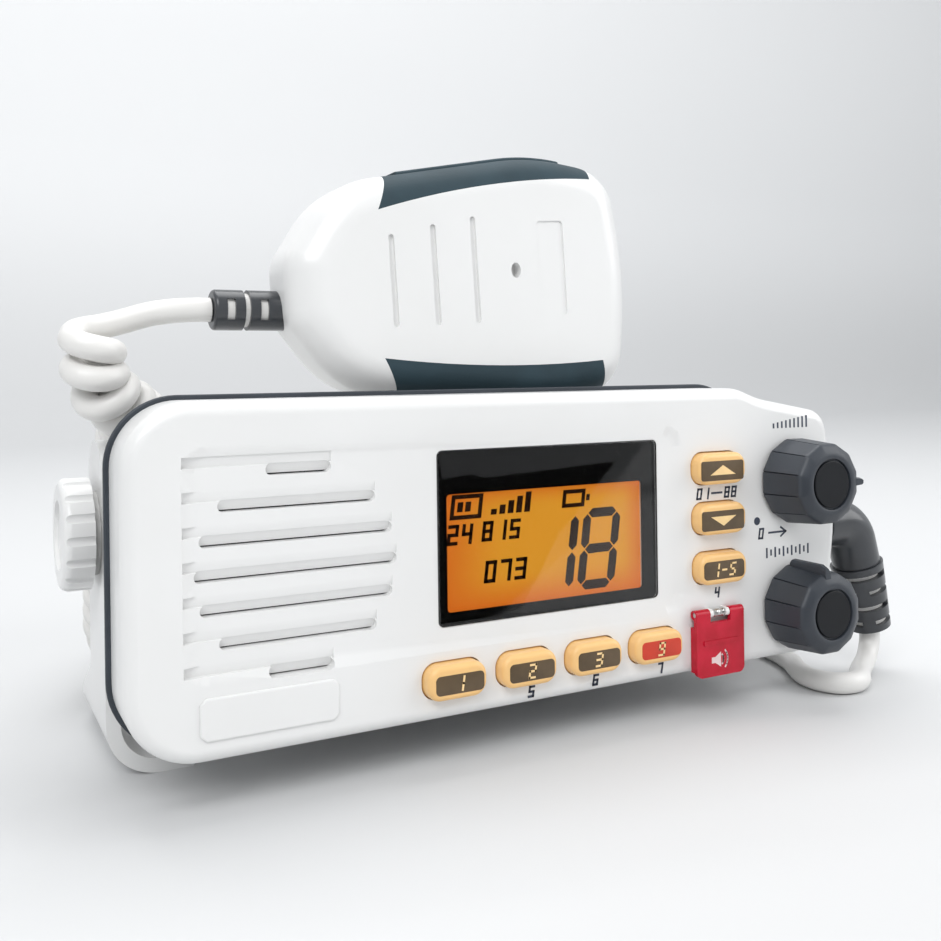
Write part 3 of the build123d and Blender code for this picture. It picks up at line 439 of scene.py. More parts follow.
def eased(node, name, finish, edge, sharp=32.0):
    """A part of the frame with its corners eased, which then stands for it."""
    same_place, flat = 0.002 * MM, math.radians(0.4)
    work = bmesh.new()
    work.from_mesh(frame["nodes"][node].data)
    bmesh.ops.remove_doubles(work, verts=work.verts, dist=same_place)
    bmesh.ops.dissolve_limit(work, angle_limit=flat, verts=work.verts, edges=work.edges)
    vertices = [vertex.co.copy() for vertex in work.verts]
    faces = [[vertex.index for vertex in face.verts] for face in work.faces]
    work.free()
    piece = solid(name, vertices, faces, finish, sharp)
    if edge:
        round_over(piece, edge, sharp)
    normals = piece.modifiers.new("flat faces stay flat", "WEIGHTED_NORMAL")
    normals.keep_sharp = True
    settle(piece)
    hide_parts(node)
    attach(piece, frame["nodes"][node]["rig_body"])
    return piece


white = Finish("white_gloss_plastic", (0.775, 0.775, 0.77), 0.3, fixed={"Coat Weight": 0.1})
white.uneven(30.0, 0.012, (0.002, 0.002, 0.0))
white.bump(white.noise(2600.0, 2.0), 0.06, 0.00005)
eased("front_panel", "panel_moulding", white, 0.3)


# ------------------------------------------------------------------ gasket
# A slate-grey rubber cord seals the panel to the housing and shows as a dark line all round.
# It is moulded as one ring, and the housing screws squeeze it.
rubber = Finish("slate_rubber", (0.024, 0.031, 0.041), 0.55)
rubber.uneven(90.0, 0.12)
rubber.bump(rubber.noise(1800.0, 3.0), 0.25, 0.0001)
eased("panel_gasket", "gasket_ring", rubber, 0.3)


# ------------------------------------------------------------------ rear housing
# The moulded white box behind the panel, screwed to it through the gasket.
# Bosses on its sides take the threads of the clamp studs.
eased("rear_housing", "housing_box", white, 0.4)


# ------------------------------------------------------------------ heat sink
# A powder-coated aluminium casting, screwed to the back of the housing.
# Twelve upright fins stand on its plate.
class Recipe(Nodes):
    """A Geometry Nodes tree that makes a repeated form from named sizes, in metres."""

    def __init__(self, name, sizes):
        super().__init__(bpy.data.node_groups.new(name, "GeometryNodeTree"))
        face = self.tree.interface
        face.new_socket("Places", in_out="INPUT", socket_type="NodeSocketGeometry")
        self.identifiers = {}
        for size in sizes:
            socket = face.new_socket(size, in_out="INPUT", socket_type="NodeSocketFloat")
            self.identifiers[size] = socket.identifier
        face.new_socket("Piece", in_out="OUTPUT", socket_type="NodeSocketGeometry")
        self.inputs = self.tree.nodes.new("NodeGroupInput").outputs

    def __getitem__(self, size):
        return Wire(self, self.inputs[size])

    def vector(self, x=0.0, y=0.0, z=0.0):
        return self.add("ShaderNodeCombineXYZ", None, {0: x, 1: y, 2: z})

    def reckon(self, operation, first, second):
        sockets = {0: first, 1: second}
        return self.add("ShaderNodeVectorMath", {"operation": operation}, sockets)

    def moved(self, form, shift):
        sockets = {"Geometry": form, "Translation": shift}
        return self.add("GeometryNodeTransform", None, sockets)

    def joined(self, forms):
        return self.add("GeometryNodeJoinGeometry", None, {"Geometry": forms})

    def swept(self, line, outline):
        """A solid bar: an outline swept along a line, with closed ends."""
        sockets = {"Curve": line, "Profile Curve": outline, "Fill Caps": True}
        return self.add("GeometryNodeCurveToMesh", None, sockets)

    def at_places(self, form, turn=(0.0, 0.0, 0.0)):
        """The form at each of the places given, turned by degrees about X, Y and Z."""
        turn = tuple(math.radians(angle) for angle in turn)
        sockets = {"Points": self["Places"], "Instance": form, "Rotation": turn}
        return self.add("GeometryNodeInstanceOnPoints", None, sockets)

    def end(self, form, finish):
        form = self.add("GeometryNodeRealizeInstances", None, {"Geometry": form})
        form = self.add("GeometryNodeSetShadeSmooth", None, {"Geometry": form})
        sockets = {"Geometry": form, "Material": finish.material}
        form = self.add("GeometryNodeSetMaterial", None, sockets)
        self.feed(self.tree.nodes.new("NodeGroupOutput").inputs[0], form)

    def make(self, name, places, sizes, body, slot, node, edge=0.0):
        """The recipe worked at each place, as one plain mesh that stands for a node."""
        piece = solid(name, [Vector(place) * MM for place in places], [])
        grow = piece.modifiers.new("recipe", "NODES")
        grow.node_group = self.tree
        for size, value in sizes.items():
            grow[self.identifiers[size]] = value * MM
        if edge:
            round_over(piece, edge, 30.0)
        settle(piece)
        piece.data.set_sharp_from_angle(angle=math.radians(35))
        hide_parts(node)
        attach(piece, body)


fin_count, fin_first_x, fin_last_x, fin_y, fin_z = 12, -53.0, 37.0, 67.0, 46.5
fin_sizes = {"Fin Width": 2.0, "Fin Depth": 10.0, "Fin Height": 41.0, "Edge": 0.5,
             "Plate Width": 92.0, "Plate Depth": 4.0, "Plate Height": 44.0}
casting = Finish("powder_coat", (0.74, 0.74, 0.74), 0.5)
casting.bump(casting.noise(1500.0, 4.0, 0.65), 0.35, 0.00012)
casting.uneven(40.0, 0.02)

fins = Recipe("upright_fins", fin_sizes)
uprights = []
for part in ("Fin", "Plate"):
    sockets = {"Width": fins[part + " Width"], "Height": fins[part + " Depth"]}
    outline = fins.add("GeometryNodeCurvePrimitiveQuadrilateral", None, sockets)
    sockets = {"Curve": outline, "Radius": fins["Edge"], "Count": 3}
    outline = fins.add("GeometryNodeFilletCurve", {"mode": "POLY"}, sockets)
    half = fins[part + " Height"] * 0.5
    sockets = {"Start": fins.vector(z=-1.0 * half), "End": fins.vector(z=half)}
    line = fins.add("GeometryNodeCurvePrimitiveLine", None, sockets)
    uprights.append(fins.swept(line, outline))
# The plate stands behind the middle of the row, its face against the fins
sockets = {"Geometry": fins["Places"], 2: fins.add("GeometryNodeInputPosition")}
settings = {"data_type": "FLOAT_VECTOR"}
middle = fins.add("GeometryNodeAttributeStatistic", settings, sockets, "Mean")
back = fins.vector(y=(fins["Fin Depth"] + fins["Plate Depth"]) * 0.5)
plate = fins.moved(uprights[1], fins.reckon("SUBTRACT", middle, back))
fins.end(fins.joined([fins.at_places(uprights[0]), plate]), casting)
fin_step = (fin_last_x - fin_first_x) / (fin_count - 1)
fin_places = [(fin_first_x + fin_step * number, fin_y, fin_z) for number in range(fin_count)]
fins.make("heat_sink_fins", fin_places, fin_sizes, "radio", "white_casting", "heat_sink", 0.25)


# ------------------------------------------------------------------ housing screws
# Four cross-head machine screws of stainless steel, driven from behind through the housing's
# flange and the gasket into the panel.
screw_places = [(-79.75, -49.1, 23.0), (-79.75, -49.1, 67.0),
                (79.75, -49.1, 67.0), (79.75, -49.1, 39.0)]
screw_sizes = {"Head Radius": 3.0, "Head Height": 1.8, "Shank Radius": 1.5,
               "Shank Length": 8.6, "Cross Width": 0.8}
crown_drop = 0.22  # share of the head's radius that its crown loses at the top
cross_reach = 1.05  # length of the cross's arms against the head's radius
steel = Finish("stainless_steel", (0.62, 0.62, 0.61), 0.28, 1.0)
steel.set("Roughness", 0.22 + 0.16 * steel.noise(900.0, 3.0))
steel.bump(steel.noise(2500.0, 2.0), 0.1, 0.00003)

screw = Recipe("cross_head_screw", screw_sizes)
head_radius, head_height = screw["Head Radius"], screw["Head Height"]
sockets = {"Vertices": 28, "Side Segments": 5, "Radius": head_radius, "Depth": head_height}
head = screw.add("GeometryNodeMeshCylinder", None, sockets)
at = screw.add("GeometryNodeInputPosition")
height = screw.add("ShaderNodeSeparateXYZ", None, {0: at}, 2) / head_height + 0.5
crown = 1.0 - height ** 4.0 * crown_drop
crowned = screw.reckon("MULTIPLY", at, screw.vector(crown, crown, 1.0))
head = screw.add("GeometryNodeSetPosition", None, {"Geometry": head, "Position": crowned})
arm, width = head_radius * cross_reach, screw["Cross Width"]
arms = []
for size in (screw.vector(arm, width, head_height), screw.vector(width, arm, head_height)):
    bar = screw.add("GeometryNodeMeshCube", None, {"Size": size})
    arms.append(screw.moved(bar, screw.vector(z=head_height * 0.55)))
sockets = {"Mesh 1": head, "Mesh 2": arms}
head = screw.add("GeometryNodeMeshBoolean", {"operation": "DIFFERENCE"}, sockets)
shank_length = screw["Shank Length"]
sockets = {"Vertices": 20, "Radius": screw["Shank Radius"], "Depth": shank_length}
shank = screw.add("GeometryNodeMeshCylinder", None, sockets)
shank = screw.moved(shank, screw.vector(z=-0.5 * (shank_length + head_height * 0.8)))
screw.end(screw.at_places(screw.joined([head, shank]), (-90.0, 0.0, 0.0)), steel)
screw.make("housing_screw_set", screw_places, screw_sizes, "radio", "stainless",
           "housing_screws")


# ------------------------------------------------------------------ speaker
# A speaker with a doped black cone and basket, behind the louvres.
# It is clamped between the panel and the housing.
black_plastic = Finish("black_plastic", (0.02, 0.02, 0.022), 0.55)
black_plastic.uneven(80.0, 0.2)
black_plastic.bump(black_plastic.noise(1500.0, 3.0), 0.2, 0.0001)
eased("speaker_driver", "speaker_cone", black_plastic, 0.0)


# ------------------------------------------------------------------ name plate
# A plain white plate with soft corners, moulded in one piece and pressed into a shallow
# pocket under the grille. Its face is bare.
eased("name_plate", "bare_name_plate", white, 0.2)


# ------------------------------------------------------------------ display
# A clear window, black printed round its edge on the back, over an amber backlit crystal.
# Depths run back from the foremost face of the panel, heights up from its lower edge.
front_y, base_z = -64.0, 11.0
corner_steps = 6
window_middle, window_size, window_corner = (2.65, 37.8), (57.3, 37.0), 1.2
window_front, window_back = 0.7, 2.15
print_front, print_back = 2.16, 2.28
print_size = (57.2, 36.9)
opening_middle, opening_size, opening_corner = (1.8, 34.45), (50.6, 24.9), 0.8


def on_face(x, z, depth):
    return Vector((x, front_y + depth, base_z + z)) * MM


def rounded(middle, size, radius, inset=0.0):
    """Corner points of a rounded rectangle, anticlockwise from the front."""
    half_w, half_h = size[0] / 2 - inset, size[1] / 2 - inset
    radius = max(min(radius, size[0] / 2, size[1] / 2) - inset, 0.02)
    points = []
    for quarter, (sx, sz) in enumerate(((1, 1), (-1, 1), (-1, -1), (1, -1))):
        for step in range(corner_steps + 1):
            turn = math.radians(90 * (quarter + step / corner_steps))
            points.append((middle[0] + sx * (half_w - radius) + radius * math.cos(turn),
                           middle[1] + sz * (half_h - radius) + radius * math.sin(turn)))
    return points


def prism(outline, front, back):
    """A flat piece cut to an outline of the front view, between two depths."""
    return skin([[on_face(x, z, depth) for x, z in outline] for depth in (back, front)])


def pad(middle, size, radius, front, back, ease):
    """A rounded rectangular pad whose front edge is rounded over."""
    rings = [[on_face(*point, back) for point in rounded(middle, size, radius)]]
    for step in range(5):
        turn = math.radians(22.5 * step)
        outline = rounded(middle, size, radius, ease * (1 - math.cos(turn)))
        depth = front + ease * (1 - math.sin(turn))
        rings.append([on_face(*point, depth) for point in outline])
    return skin(rings)


def frame_plate(outer, inner, front, back):
    """A flat piece with an opening, from two outlines of as many points each."""
    count = len(outer)
    vertices, faces = [], []
    for outline, depth in ((outer, back), (outer, front), (inner, front), (inner, back)):
        vertices += [on_face(*point, depth) for point in outline]
    for ring in range(4):
        for j in range(count):
            a, b = ring * count + j, ring * count + (j + 1) % count
            faces.append((a, b, (b + count) % (4 * count), (a + count) % (4 * count)))
    return vertices, faces


def gather(parts):
    """Several bodies as the vertices and faces of one mesh."""
    vertices, faces = [], []
    for some, ring in parts:
        faces += [tuple(corner + len(vertices) for corner in face) for face in ring]
        vertices += some
    return vertices, faces


def add_piece(name, parts, finish, body, smooth=35.0):
    piece = solid(name, *gather(parts), finish, smooth)
    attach(piece, body)
    return piece


glass = {"Transmission Weight": 1.0, "IOR": 1.37}
clear = Finish("clear_window", (0.93, 0.93, 0.92), 0.03, fixed=glass)
clear.set("Roughness", 0.02 + 0.03 * clear.noise(60.0, 2.0))
pane = pad(window_middle, window_size, window_corner, window_front, window_back, 0.3)
window = add_piece("window_pane", [pane], clear, "radio", 50.0)
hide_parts("display_window")

ink = Finish("black_print", (0.003, 0.003, 0.003), 0.6, fixed={"Specular IOR Level": 0.02})
ink.uneven(200.0, 0.2)
print_outline = rounded(window_middle, print_size, window_corner)
opening = rounded(opening_middle, opening_size, opening_corner)
border = frame_plate(print_outline, opening, print_front, print_back)
add_piece("window_mask", [border], ink, "radio")

# The backlight glows yellow in the middle and falls off to orange along the four edges
matt = {"Specular IOR Level": 0.05}
amber_glass = Finish("amber_backlight", (0.22, 0.09, 0.015), 0.5, fixed=matt)
across, up = amber_glass.axis("X"), amber_glass.axis("Z")
from_sides = across.between(-0.026, -0.008) * (1.0 - 0.7 * across.between(0.022, 0.0272))
from_ends = up.between(0.0315, 0.0405) * (1.0 - 0.75 * up.between(0.0535, 0.0585))
bright = from_sides * from_ends * (0.92 + 0.16 * amber_glass.noise(45.0, 2.0))
edge_orange, middle_yellow = (0.70, 0.135, 0.010), (0.76, 0.33, 0.022)
amber_glass.set("Emission Color", amber_glass.mix(bright, edge_orange, middle_yellow))
amber_glass.set("Emission Strength", 0.78)


def refinish(node, finish):
    """A part of the frame that keeps its shape and gets a better finish."""
    part = frame["nodes"][node]
    part.data.materials.clear()
    part.data.materials.append(finish.material)


refinish("lcd_panel", amber_glass)

# The crystal's segments: a plain channel number, small numbers, and signs for a level,
# a signal and a charge
segment_ink = Finish("segment_ink", (0.030, 0.012, 0.005), 0.6, fixed=matt)
segment_ink.uneven(300.0, 0.15)
segment_lean = 0.13
segment_gap = 0.5
segment_front, segment_back = 3.38, 3.5


def leaned(points, foot):
    return [(x + segment_lean * (z - foot), z) for x, z in points]


def segment(x, z, length, thick, upright):
    """One pointed bar of a digit, centred on a place."""
    a, t = length / 2, thick / 2
    if upright:
        return [(x + t, z - a + t), (x + t, z + a - t), (x, z + a), (x - t, z + a - t),
                (x - t, z - a + t), (x, z - a)]
    return [(x - a, z), (x - a + t, z - t), (x + a - t, z - t), (x + a, z),
            (x + a - t, z + t), (x - a + t, z + t)]


def digit(shown, x, foot, width, height, thick):
    """Seven-segment digit; the segments are a to g, from the top clockwise, then the middle."""
    half_w, half_h = width / 2 - thick / 2, height / 2 - thick / 2
    middle = foot + height / 2
    long_side, short_side = half_h - segment_gap, 2 * half_w - segment_gap
    places = {
        "a": (x, middle + half_h, short_side, thick, False),
        "b": (x + half_w, middle + half_h / 2, long_side, thick, True),
        "c": (x + half_w, middle - half_h / 2, long_side, thick, True),
        "d": (x, middle - half_h, short_side, thick, False),
        "e": (x - half_w, middle - half_h / 2, long_side, thick, True),
        "f": (x - half_w, middle + half_h / 2, long_side, thick, True),
        "g": (x, middle, short_side, thick, False),
    }
    bars = []
    for letter in shown:
        bars.append(prism(leaned(segment(*places[letter]), foot), segment_front, segment_back))
    return bars


def block(x, z, width, height, foot):
    outline = [(x, z), (x + width, z), (x + width, z + height), (x, z + height)]
    return prism(leaned(outline, foot), segment_front, segment_back)


def box_sign(x, foot, width, height, thick):
    """Four bars round a leaning box."""
    bars = [block(x, foot, width, thick, foot), block(x, foot + height - thick, width, thick, foot)]
    for side in (x, x + width - thick):
        bars.append(block(side, foot + thick, thick, height - 2 * thick, foot))
    return bars


def stroke(x0, z0, x1, z1, thick):
    """A straight mark between two points of the front view."""
    run = Vector((x1 - x0, z1 - z0)).normalized() * thick / 2
    side = Vector((-run.y, run.x))
    start, end = Vector((x0, z0)) - run, Vector((x1, z1)) + run
    return [tuple(corner) for corner in (start - side, end - side, end + side, start + side)]


def small_digit(shown, x, z, width, height, thick, lean):
    """Strokes of a plain printed number."""
    half_w, half_h = width / 2, height / 2
    ends = {
        "a": (-half_w, half_h, half_w, half_h), "b": (half_w, 0, half_w, half_h),
        "c": (half_w, -half_h, half_w, 0), "d": (-half_w, -half_h, half_w, -half_h),
        "e": (-half_w, -half_h, -half_w, 0), "f": (-half_w, 0, -half_w, half_h),
        "g": (-half_w, 0, half_w, 0),
    }
    marks = []
    for letter in shown:
        x0, z0, x1, z1 = ends[letter]
        marks.append(stroke(x + x0 + lean * z0, z + z0, x + x1 + lean * z1, z + z1, thick))
    return marks


numerals = {"0": "abcdef", "1": "bc", "2": "abged", "3": "abgcd", "4": "fgbc", "5": "afgcd",
            "6": "afgecd", "7": "abc", "8": "abcdefg", "9": "abfgcd"}


def number_marks(text, x, z, height, thick, lean=0.16):
    """Numbers of half their height in width, and a dash for any other character."""
    step = 0.95 * height
    marks = []
    for place, character in enumerate(text):
        at = x + (place - (len(text) - 1) / 2) * step
        if character in numerals:
            marks += small_digit(numerals[character], at, z, 0.5 * height, height, thick, lean)
        else:
            marks.append(stroke(at - 0.2 * height, z, at + 0.2 * height, z, thick))
    return marks


segments = digit(numerals["1"], 4.0, 22.8, 9.0, 18.2, 2.1)
segments += digit(numerals["8"], 14.8, 22.9, 10.2, 18.3, 2.1)
level_foot, signal_foot, charge_foot = 41.2, 41.7, 41.8
segments += box_sign(-22.2, level_foot, 7.6, 5.3, 0.9)
segments += [block(x, level_foot + 1.6, 1.3, 2.1, level_foot) for x in (-20.6, -18.7)]
for number in range(5):
    x = -12.2 + 2.1 * number
    segments.append(block(x, signal_foot, 1.4, 1.2 + 0.8 * number, signal_foot))
segments += box_sign(6.0, charge_foot, 6.0, 4.0, 0.9)
segments.append(block(12.4, charge_foot + 1.3, 0.9, 1.4, charge_foot))
small_marks = number_marks("24", -19.7, 38.0, 3.6, 0.75, segment_lean)
small_marks += number_marks("815", -9.6, 38.2, 3.6, 0.75, segment_lean)
small_marks += number_marks("073", -8.6, 29.4, 4.0, 0.8, segment_lean)
segments += [prism(mark, segment_front, segment_back) for mark in small_marks]
add_piece("lcd_segments", segments, segment_ink, "radio")

# A black card stands in front of the set, out of sight: the window mirrors its slanted edge
card_y, card_left, card_low, card_high = -0.155, -0.004, -0.006, 0.066
card_corners = [(card_left, card_y, card_low), (0.032, card_y, card_low),
                (0.1035, card_y, card_high), (card_left, card_y, card_high)]
dark_card = Finish("dark_card", (0.0, 0.0, 0.0), 1.0)
flag = solid("flag", card_corners, [(0, 1, 2, 3)], dark_card)
flag.visible_camera = flag.visible_diffuse = flag.visible_shadow = False


# ------------------------------------------------------------------ keys
# Amber silicone keys, each lit from behind and free to travel in its hole.
# A dark legend plate is bonded to each face, with a plain sign left clear in it.
key_face = -3.2
legend_proud, sign_proud, legend_ease = 0.07, 0.12, 0.05
# For each key, its legend plate's middle, size and corner radius, and its sign
key_looks = {
    "channel_up_key": ((47.9, 48.5), (12.9, 4.7), 0.6, "up"),
    "channel_down_key": ((47.9, 36.6), (12.9, 4.7), 0.6, "down"),
    "power_level_key": ((48.0, 24.8), (12.4, 4.3), 1.1, "1-5"),
    "function_key_1": ((-23.25, 8.4), (11.2, 4.0), 1.0, "1"),
    "function_key_2": ((-5.85, 8.4), (11.2, 4.0), 1.0, "2"),
    "function_key_3": ((11.55, 8.4), (11.2, 4.0), 1.0, "3"),
    "distress_key": ((28.95, 8.4), (11.2, 4.0), 1.0, "9"),
}
amber = Finish("amber_silicone", (0.80, 0.50, 0.20), 0.38, fixed={"Coat Weight": 0.12})
amber.uneven(120.0, 0.03)
amber.bump(amber.noise(2200.0, 2.0), 0.08, 0.00005)
amber.set("Emission Color", (0.9, 0.46, 0.16, 1.0))
amber.set("Emission Strength", 0.07)
legend_brown = Finish("legend_brown", (0.095, 0.062, 0.030), 0.4)
legend_brown.uneven(200.0, 0.15)
legend_red = Finish("legend_red", (0.55, 0.035, 0.012), 0.38)
legend_red.uneven(200.0, 0.08)
sign_amber = Finish("sign_amber", (0.88, 0.62, 0.30), 0.45)
sign_amber.uneven(200.0, 0.05)


def arrow(x, z, way):
    """A flat triangle that points up (way 1) or down (way -1)."""
    half_width, below, above = 3.9, 1.0, 1.3
    corners = [(x - half_width, z - below * way), (x + half_width, z - below * way),
               (x, z + above * way)]
    return corners[::way]


for name, (middle, size, corner, sign) in key_looks.items():
    body = frame["nodes"][name]["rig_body"]
    eased(name, name + "_cap", amber, 0.0)
    legend = legend_red if name == "distress_key" else legend_brown
    face = pad(middle, size, corner, key_face - legend_proud, key_face + 0.2, legend_ease)
    add_piece(name + "_legend", [face], legend, body)
    if sign in ("up", "down"):
        marks = [arrow(*middle, 1 if sign == "up" else -1)]
    else:
        marks = number_marks(sign, *middle, 2.7, 0.45)
    shapes = [prism(mark, key_face - sign_proud, key_face - 0.05) for mark in marks]
    add_piece(name + "_sign", shapes, sign_amber, body)


# ------------------------------------------------------------------ panel printing
# Dark blue-grey marks, pad printed on the panel: plain scales and numbers beside each control.
# They stand a few hundredths of a millimetre proud.
line_thick, number_thick = 0.55, 0.5
scale_step = 1.4
dot_x, dot_z, dot_radius = 61.5, 34.9, 1.0
print_blue = Finish("print_blue", (0.035, 0.045, 0.075), 0.5)
print_blue.uneven(400.0, 0.15)
marks = []
for number in range(9):  # over the volume knob, lines that grow
    x, tall = 67.4 + scale_step * number, 0.7 + 0.22 * number
    marks.append(stroke(x, 58.0, x, 58.0 + tall, line_thick))
for number in range(11):  # over the squelch knob, long and short lines
    x, half = 64.6 + scale_step * number, 0.5 if number % 2 else 1.0
    marks.append(stroke(x, 26.7 - half, x, 26.7 + half, line_thick))
for text, x, z, tall in (("01", 44.4, 42.8, 2.3), ("88", 53.0, 42.8, 2.3), ("4", 48.4, 18.7, 2.1),
                         ("0", 62.8, 31.7, 2.3), ("5", -4.3, 2.9, 2.1), ("6", 12.6, 2.9, 2.1),
                         ("7", 30.9, 2.9, 2.1)):
    marks += number_marks(text, x, z, tall, number_thick)
for ends in ((47.2, 42.8, 50.2, 42.8),  # a dash between two numbers, then an arrow
             (65.4, 31.7, 70.8, 31.7), (69.4, 32.8, 71.0, 31.7), (69.4, 30.6, 71.0, 31.7)):
    marks.append(stroke(*ends, number_thick))
turns = [math.radians(20 * number) for number in range(18)]
marks.append([(dot_x + dot_radius * math.cos(turn), dot_z + dot_radius * math.sin(turn))
              for turn in turns])
shapes = [prism(mark, -0.03, 0.05) for mark in marks]
add_piece("panel_printing", shapes, print_blue, "radio")


# ------------------------------------------------------------------ siren cover
# A red translucent lid on a steel pin, over the siren button. A wound steel spring round the
# pin, between the lid's ears, holds it shut.
spring_sizes = {"Radius": 0.8, "Length": 3.3, "Wire Radius": 0.19}
spring_turns = 7.0
horn_middle, horn_height, horn_sweep = 46.4, 3.3, 84.0
lid_front = -2.4
red_sheen = {"Specular IOR Level": 0.3, "Transmission Weight": 0.1}
red = Finish("red_translucent", (0.56, 0.008, 0.030), 0.24, fixed=red_sheen)
cloud = red.noise(140.0, 3.0).between(0.3, 0.7)
red.set("Base Color", red.mix(cloud, (0.46, 0.004, 0.020), (0.60, 0.008, 0.034)))
red.bump(red.noise(500.0, 2.0), 0.06, 0.0001)
eased("siren_cover", "siren_lid", red, 0.18)
eased("siren_button", "siren_push_button", red, 0.1)
eased("siren_hinge_pin", "siren_pin", steel, 0.0)

spring = Recipe("wound_spring", spring_sizes)
sockets = {"Resolution": 18, "Rotations": spring_turns, "Start Radius": spring["Radius"],
           "End Radius": spring["Radius"], "Height": spring["Length"]}
spiral = spring.add("GeometryNodeCurveSpiral", None, sockets)
sockets = {"Resolution": 8, "Radius": spring["Wire Radius"]}
wire = spring.swept(spiral, spring.add("GeometryNodeCurvePrimitiveCircle", None, sockets))
spring.end(spring.at_places(wire, (0.0, 90.0, 0.0)), steel)
spring.make("siren_spring_wire", [(45.65, -65.3, 25.3)], spring_sizes, "radio", "stainless",
            "siren_spring")

print_white = Finish("print_white", (0.80, 0.62, 0.62), 0.5)
print_white.uneven(300.0, 0.06)
horn = [[(44.4, 2.6), (45.5, 2.6), (47.2, 1.5), (47.2, 5.1), (45.5, 4.0), (44.4, 4.0)]]
for reach in (1.6, 2.9):  # two arcs of sound in front of the horn
    ends = []
    for step in range(7):
        turn = math.radians(horn_sweep * (step / 6 - 0.5))
        ends.append((horn_middle + reach * math.cos(turn), horn_height + reach * math.sin(turn)))
    horn += [stroke(*start, *end, 0.4) for start, end in zip(ends, ends[1:])]
shapes = [prism(mark, lid_front - 0.06, lid_front + 0.02) for mark in horn]
add_piece("siren_sign", shapes, print_white, "siren_cover")


# ------------------------------------------------------------------ knobs
# Charcoal moulded knobs on the spindles of the two controls. Twelve flats for wet fingers,
# with a crease between each that runs out before the nose, a ridge that points, and a cap.
knob_gap = 0.8
flat_count, flat_cut, crease_depth = 12, 0.972, 0.42
flats_over = 9.0  # rings of more than this radius have the flats
flat_offsets = (-15.0, -14.1, -13.0, -9.0, -4.5, 0.0, 4.5, 9.0, 13.0, 14.1)
# Along the knob from its foot: distance, radius, and how deep the creases are there
knob_profile = [
    (8.8, 3.0, 0.0), (0.0, 3.0, 0.0), (0.0, 10.3, 0.0), (0.15, 10.65, 0.6), (0.6, 10.8, 1.0),
    (2.5, 10.66, 1.0), (5.0, 10.45, 1.0), (7.5, 10.24, 1.0), (9.6, 10.06, 0.75),
    (10.8, 9.97, 0.3), (11.3, 9.88, 0.0), (11.6, 9.7, 0.0), (12.0, 9.2, 0.0), (12.6, 7.8, 0.0),
    (12.8, 7.2, 0.0), (12.8, 6.45, 0.0), (12.7, 6.25, 0.0), (12.0, 6.15, 0.0),
]
# The ridge: distance along, reach of its top from the axis, and half width
pointer_profile = [(0.9, 11.6, 1.0), (1.4, 12.0, 1.0), (10.6, 12.0, 0.85), (12.2, 11.2, 0.7)]
pointer_root = 8.6
charcoal_look, cap_look = {"Specular IOR Level": 0.4}, {"Specular IOR Level": 0.2}
charcoal = Finish("charcoal_plastic", (0.034, 0.040, 0.050), 0.42, fixed=charcoal_look)
charcoal.uneven(70.0, 0.1)
charcoal.bump(charcoal.noise(1600.0, 3.0), 0.15, 0.0001)
cap_black = Finish("knob_cap_black", (0.006, 0.007, 0.009), 0.4, fixed=cap_look)
cap_black.uneven(80.0, 0.15)
cap_black.bump(cap_black.noise(1600.0, 3.0), 0.12, 0.0001)


def knob_rings(x, z):
    """Rings along the profile, cut by the flats where it is wide, with a notch at each crease."""
    rings = []
    for along, radius, crease in knob_profile:
        ring = []
        for flat in range(flat_count):
            for offset in flat_offsets:
                turn = math.radians(360 / flat_count * flat + offset)
                reach = radius
                if radius > flats_over:
                    reach = min(flat_cut * radius / math.cos(math.radians(offset)), radius)
                if offset == flat_offsets[0]:
                    reach -= crease_depth * crease
                spot = (x + reach * math.cos(turn), z + reach * math.sin(turn))
                ring.append(on_face(*spot, -knob_gap - along))
        rings.append(ring)
    return rings


def pointer(x, z, angle):
    """The ridge that points: a tapered bar along one flat, which ends in a slope at the nose."""
    turn = math.radians(angle)
    out = Vector((math.cos(turn), math.sin(turn)))
    side = Vector((-math.sin(turn), math.cos(turn)))
    rings = []
    for along, reach, half in pointer_profile:
        section = [(pointer_root, 1.25), (reach - 0.5, 1.0), (reach, 0.55),
                   (reach, -0.55), (reach - 0.5, -1.0), (pointer_root, -1.25)]
        ring = []
        for height, wide in reversed(section):
            place = Vector((x, z)) + out * height + side * half * wide
            ring.append(on_face(*place, -knob_gap - along))
        rings.append(ring)
    return skin(rings)


for name, x, z, angle in (("volume", 73.1, 44.5, 0.0), ("squelch", 73.1, 13.0, 98.0)):
    parts = [skin(knob_rings(x, z)), pointer(x, z, angle)]
    grip = add_piece(name + "_grip", parts, charcoal, name, 28.0)
    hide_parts(name + "_knob")
    eased(name + "_knob_cap", name + "_cap", cap_black, 0.2)
    eased(name + "_control", name + "_potentiometer", steel, 0.1)
    eased(name + "_shaft", name + "_spindle", steel, 0.0)


# ------------------------------------------------------------------ sockets and cord boots
# A nickel-plated aerial socket and two moulded rubber lead inlets at the back, and the black
# rubber elbow and boots, whose slots let them bend and show the white cord inside.
boot_core_top, boot_core_end = (104.9, -56, 30.1), (109.75, -56, 12.6)
mic_core_start, mic_core_end = (-64.6, -31.0, 98.2), (-52.0, -31.0, 98.2)
nickel = Finish("nickel_plate", (0.68, 0.66, 0.62), 0.18, 1.0)
nickel.set("Roughness", 0.12 + 0.14 * nickel.noise(500.0, 3.0))
nickel.bump(nickel.noise(2200.0, 2.0), 0.08, 0.00003)
black_rubber = Finish("black_rubber", (0.030, 0.033, 0.038), 0.3, fixed={"Coat Weight": 0.2})
black_rubber.uneven(90.0, 0.2)
black_rubber.bump(black_rubber.noise(1500.0, 3.0), 0.1, 0.0001)
eased("antenna_socket", "antenna_connector", nickel, 0.1)
eased("rear_glands", "lead_glands", black_rubber, 0.2)
for node in ("cord_boot", "cord_elbow", "mic_boot"):
    eased(node, node + "_rubber", black_rubber, 0.18, 38)
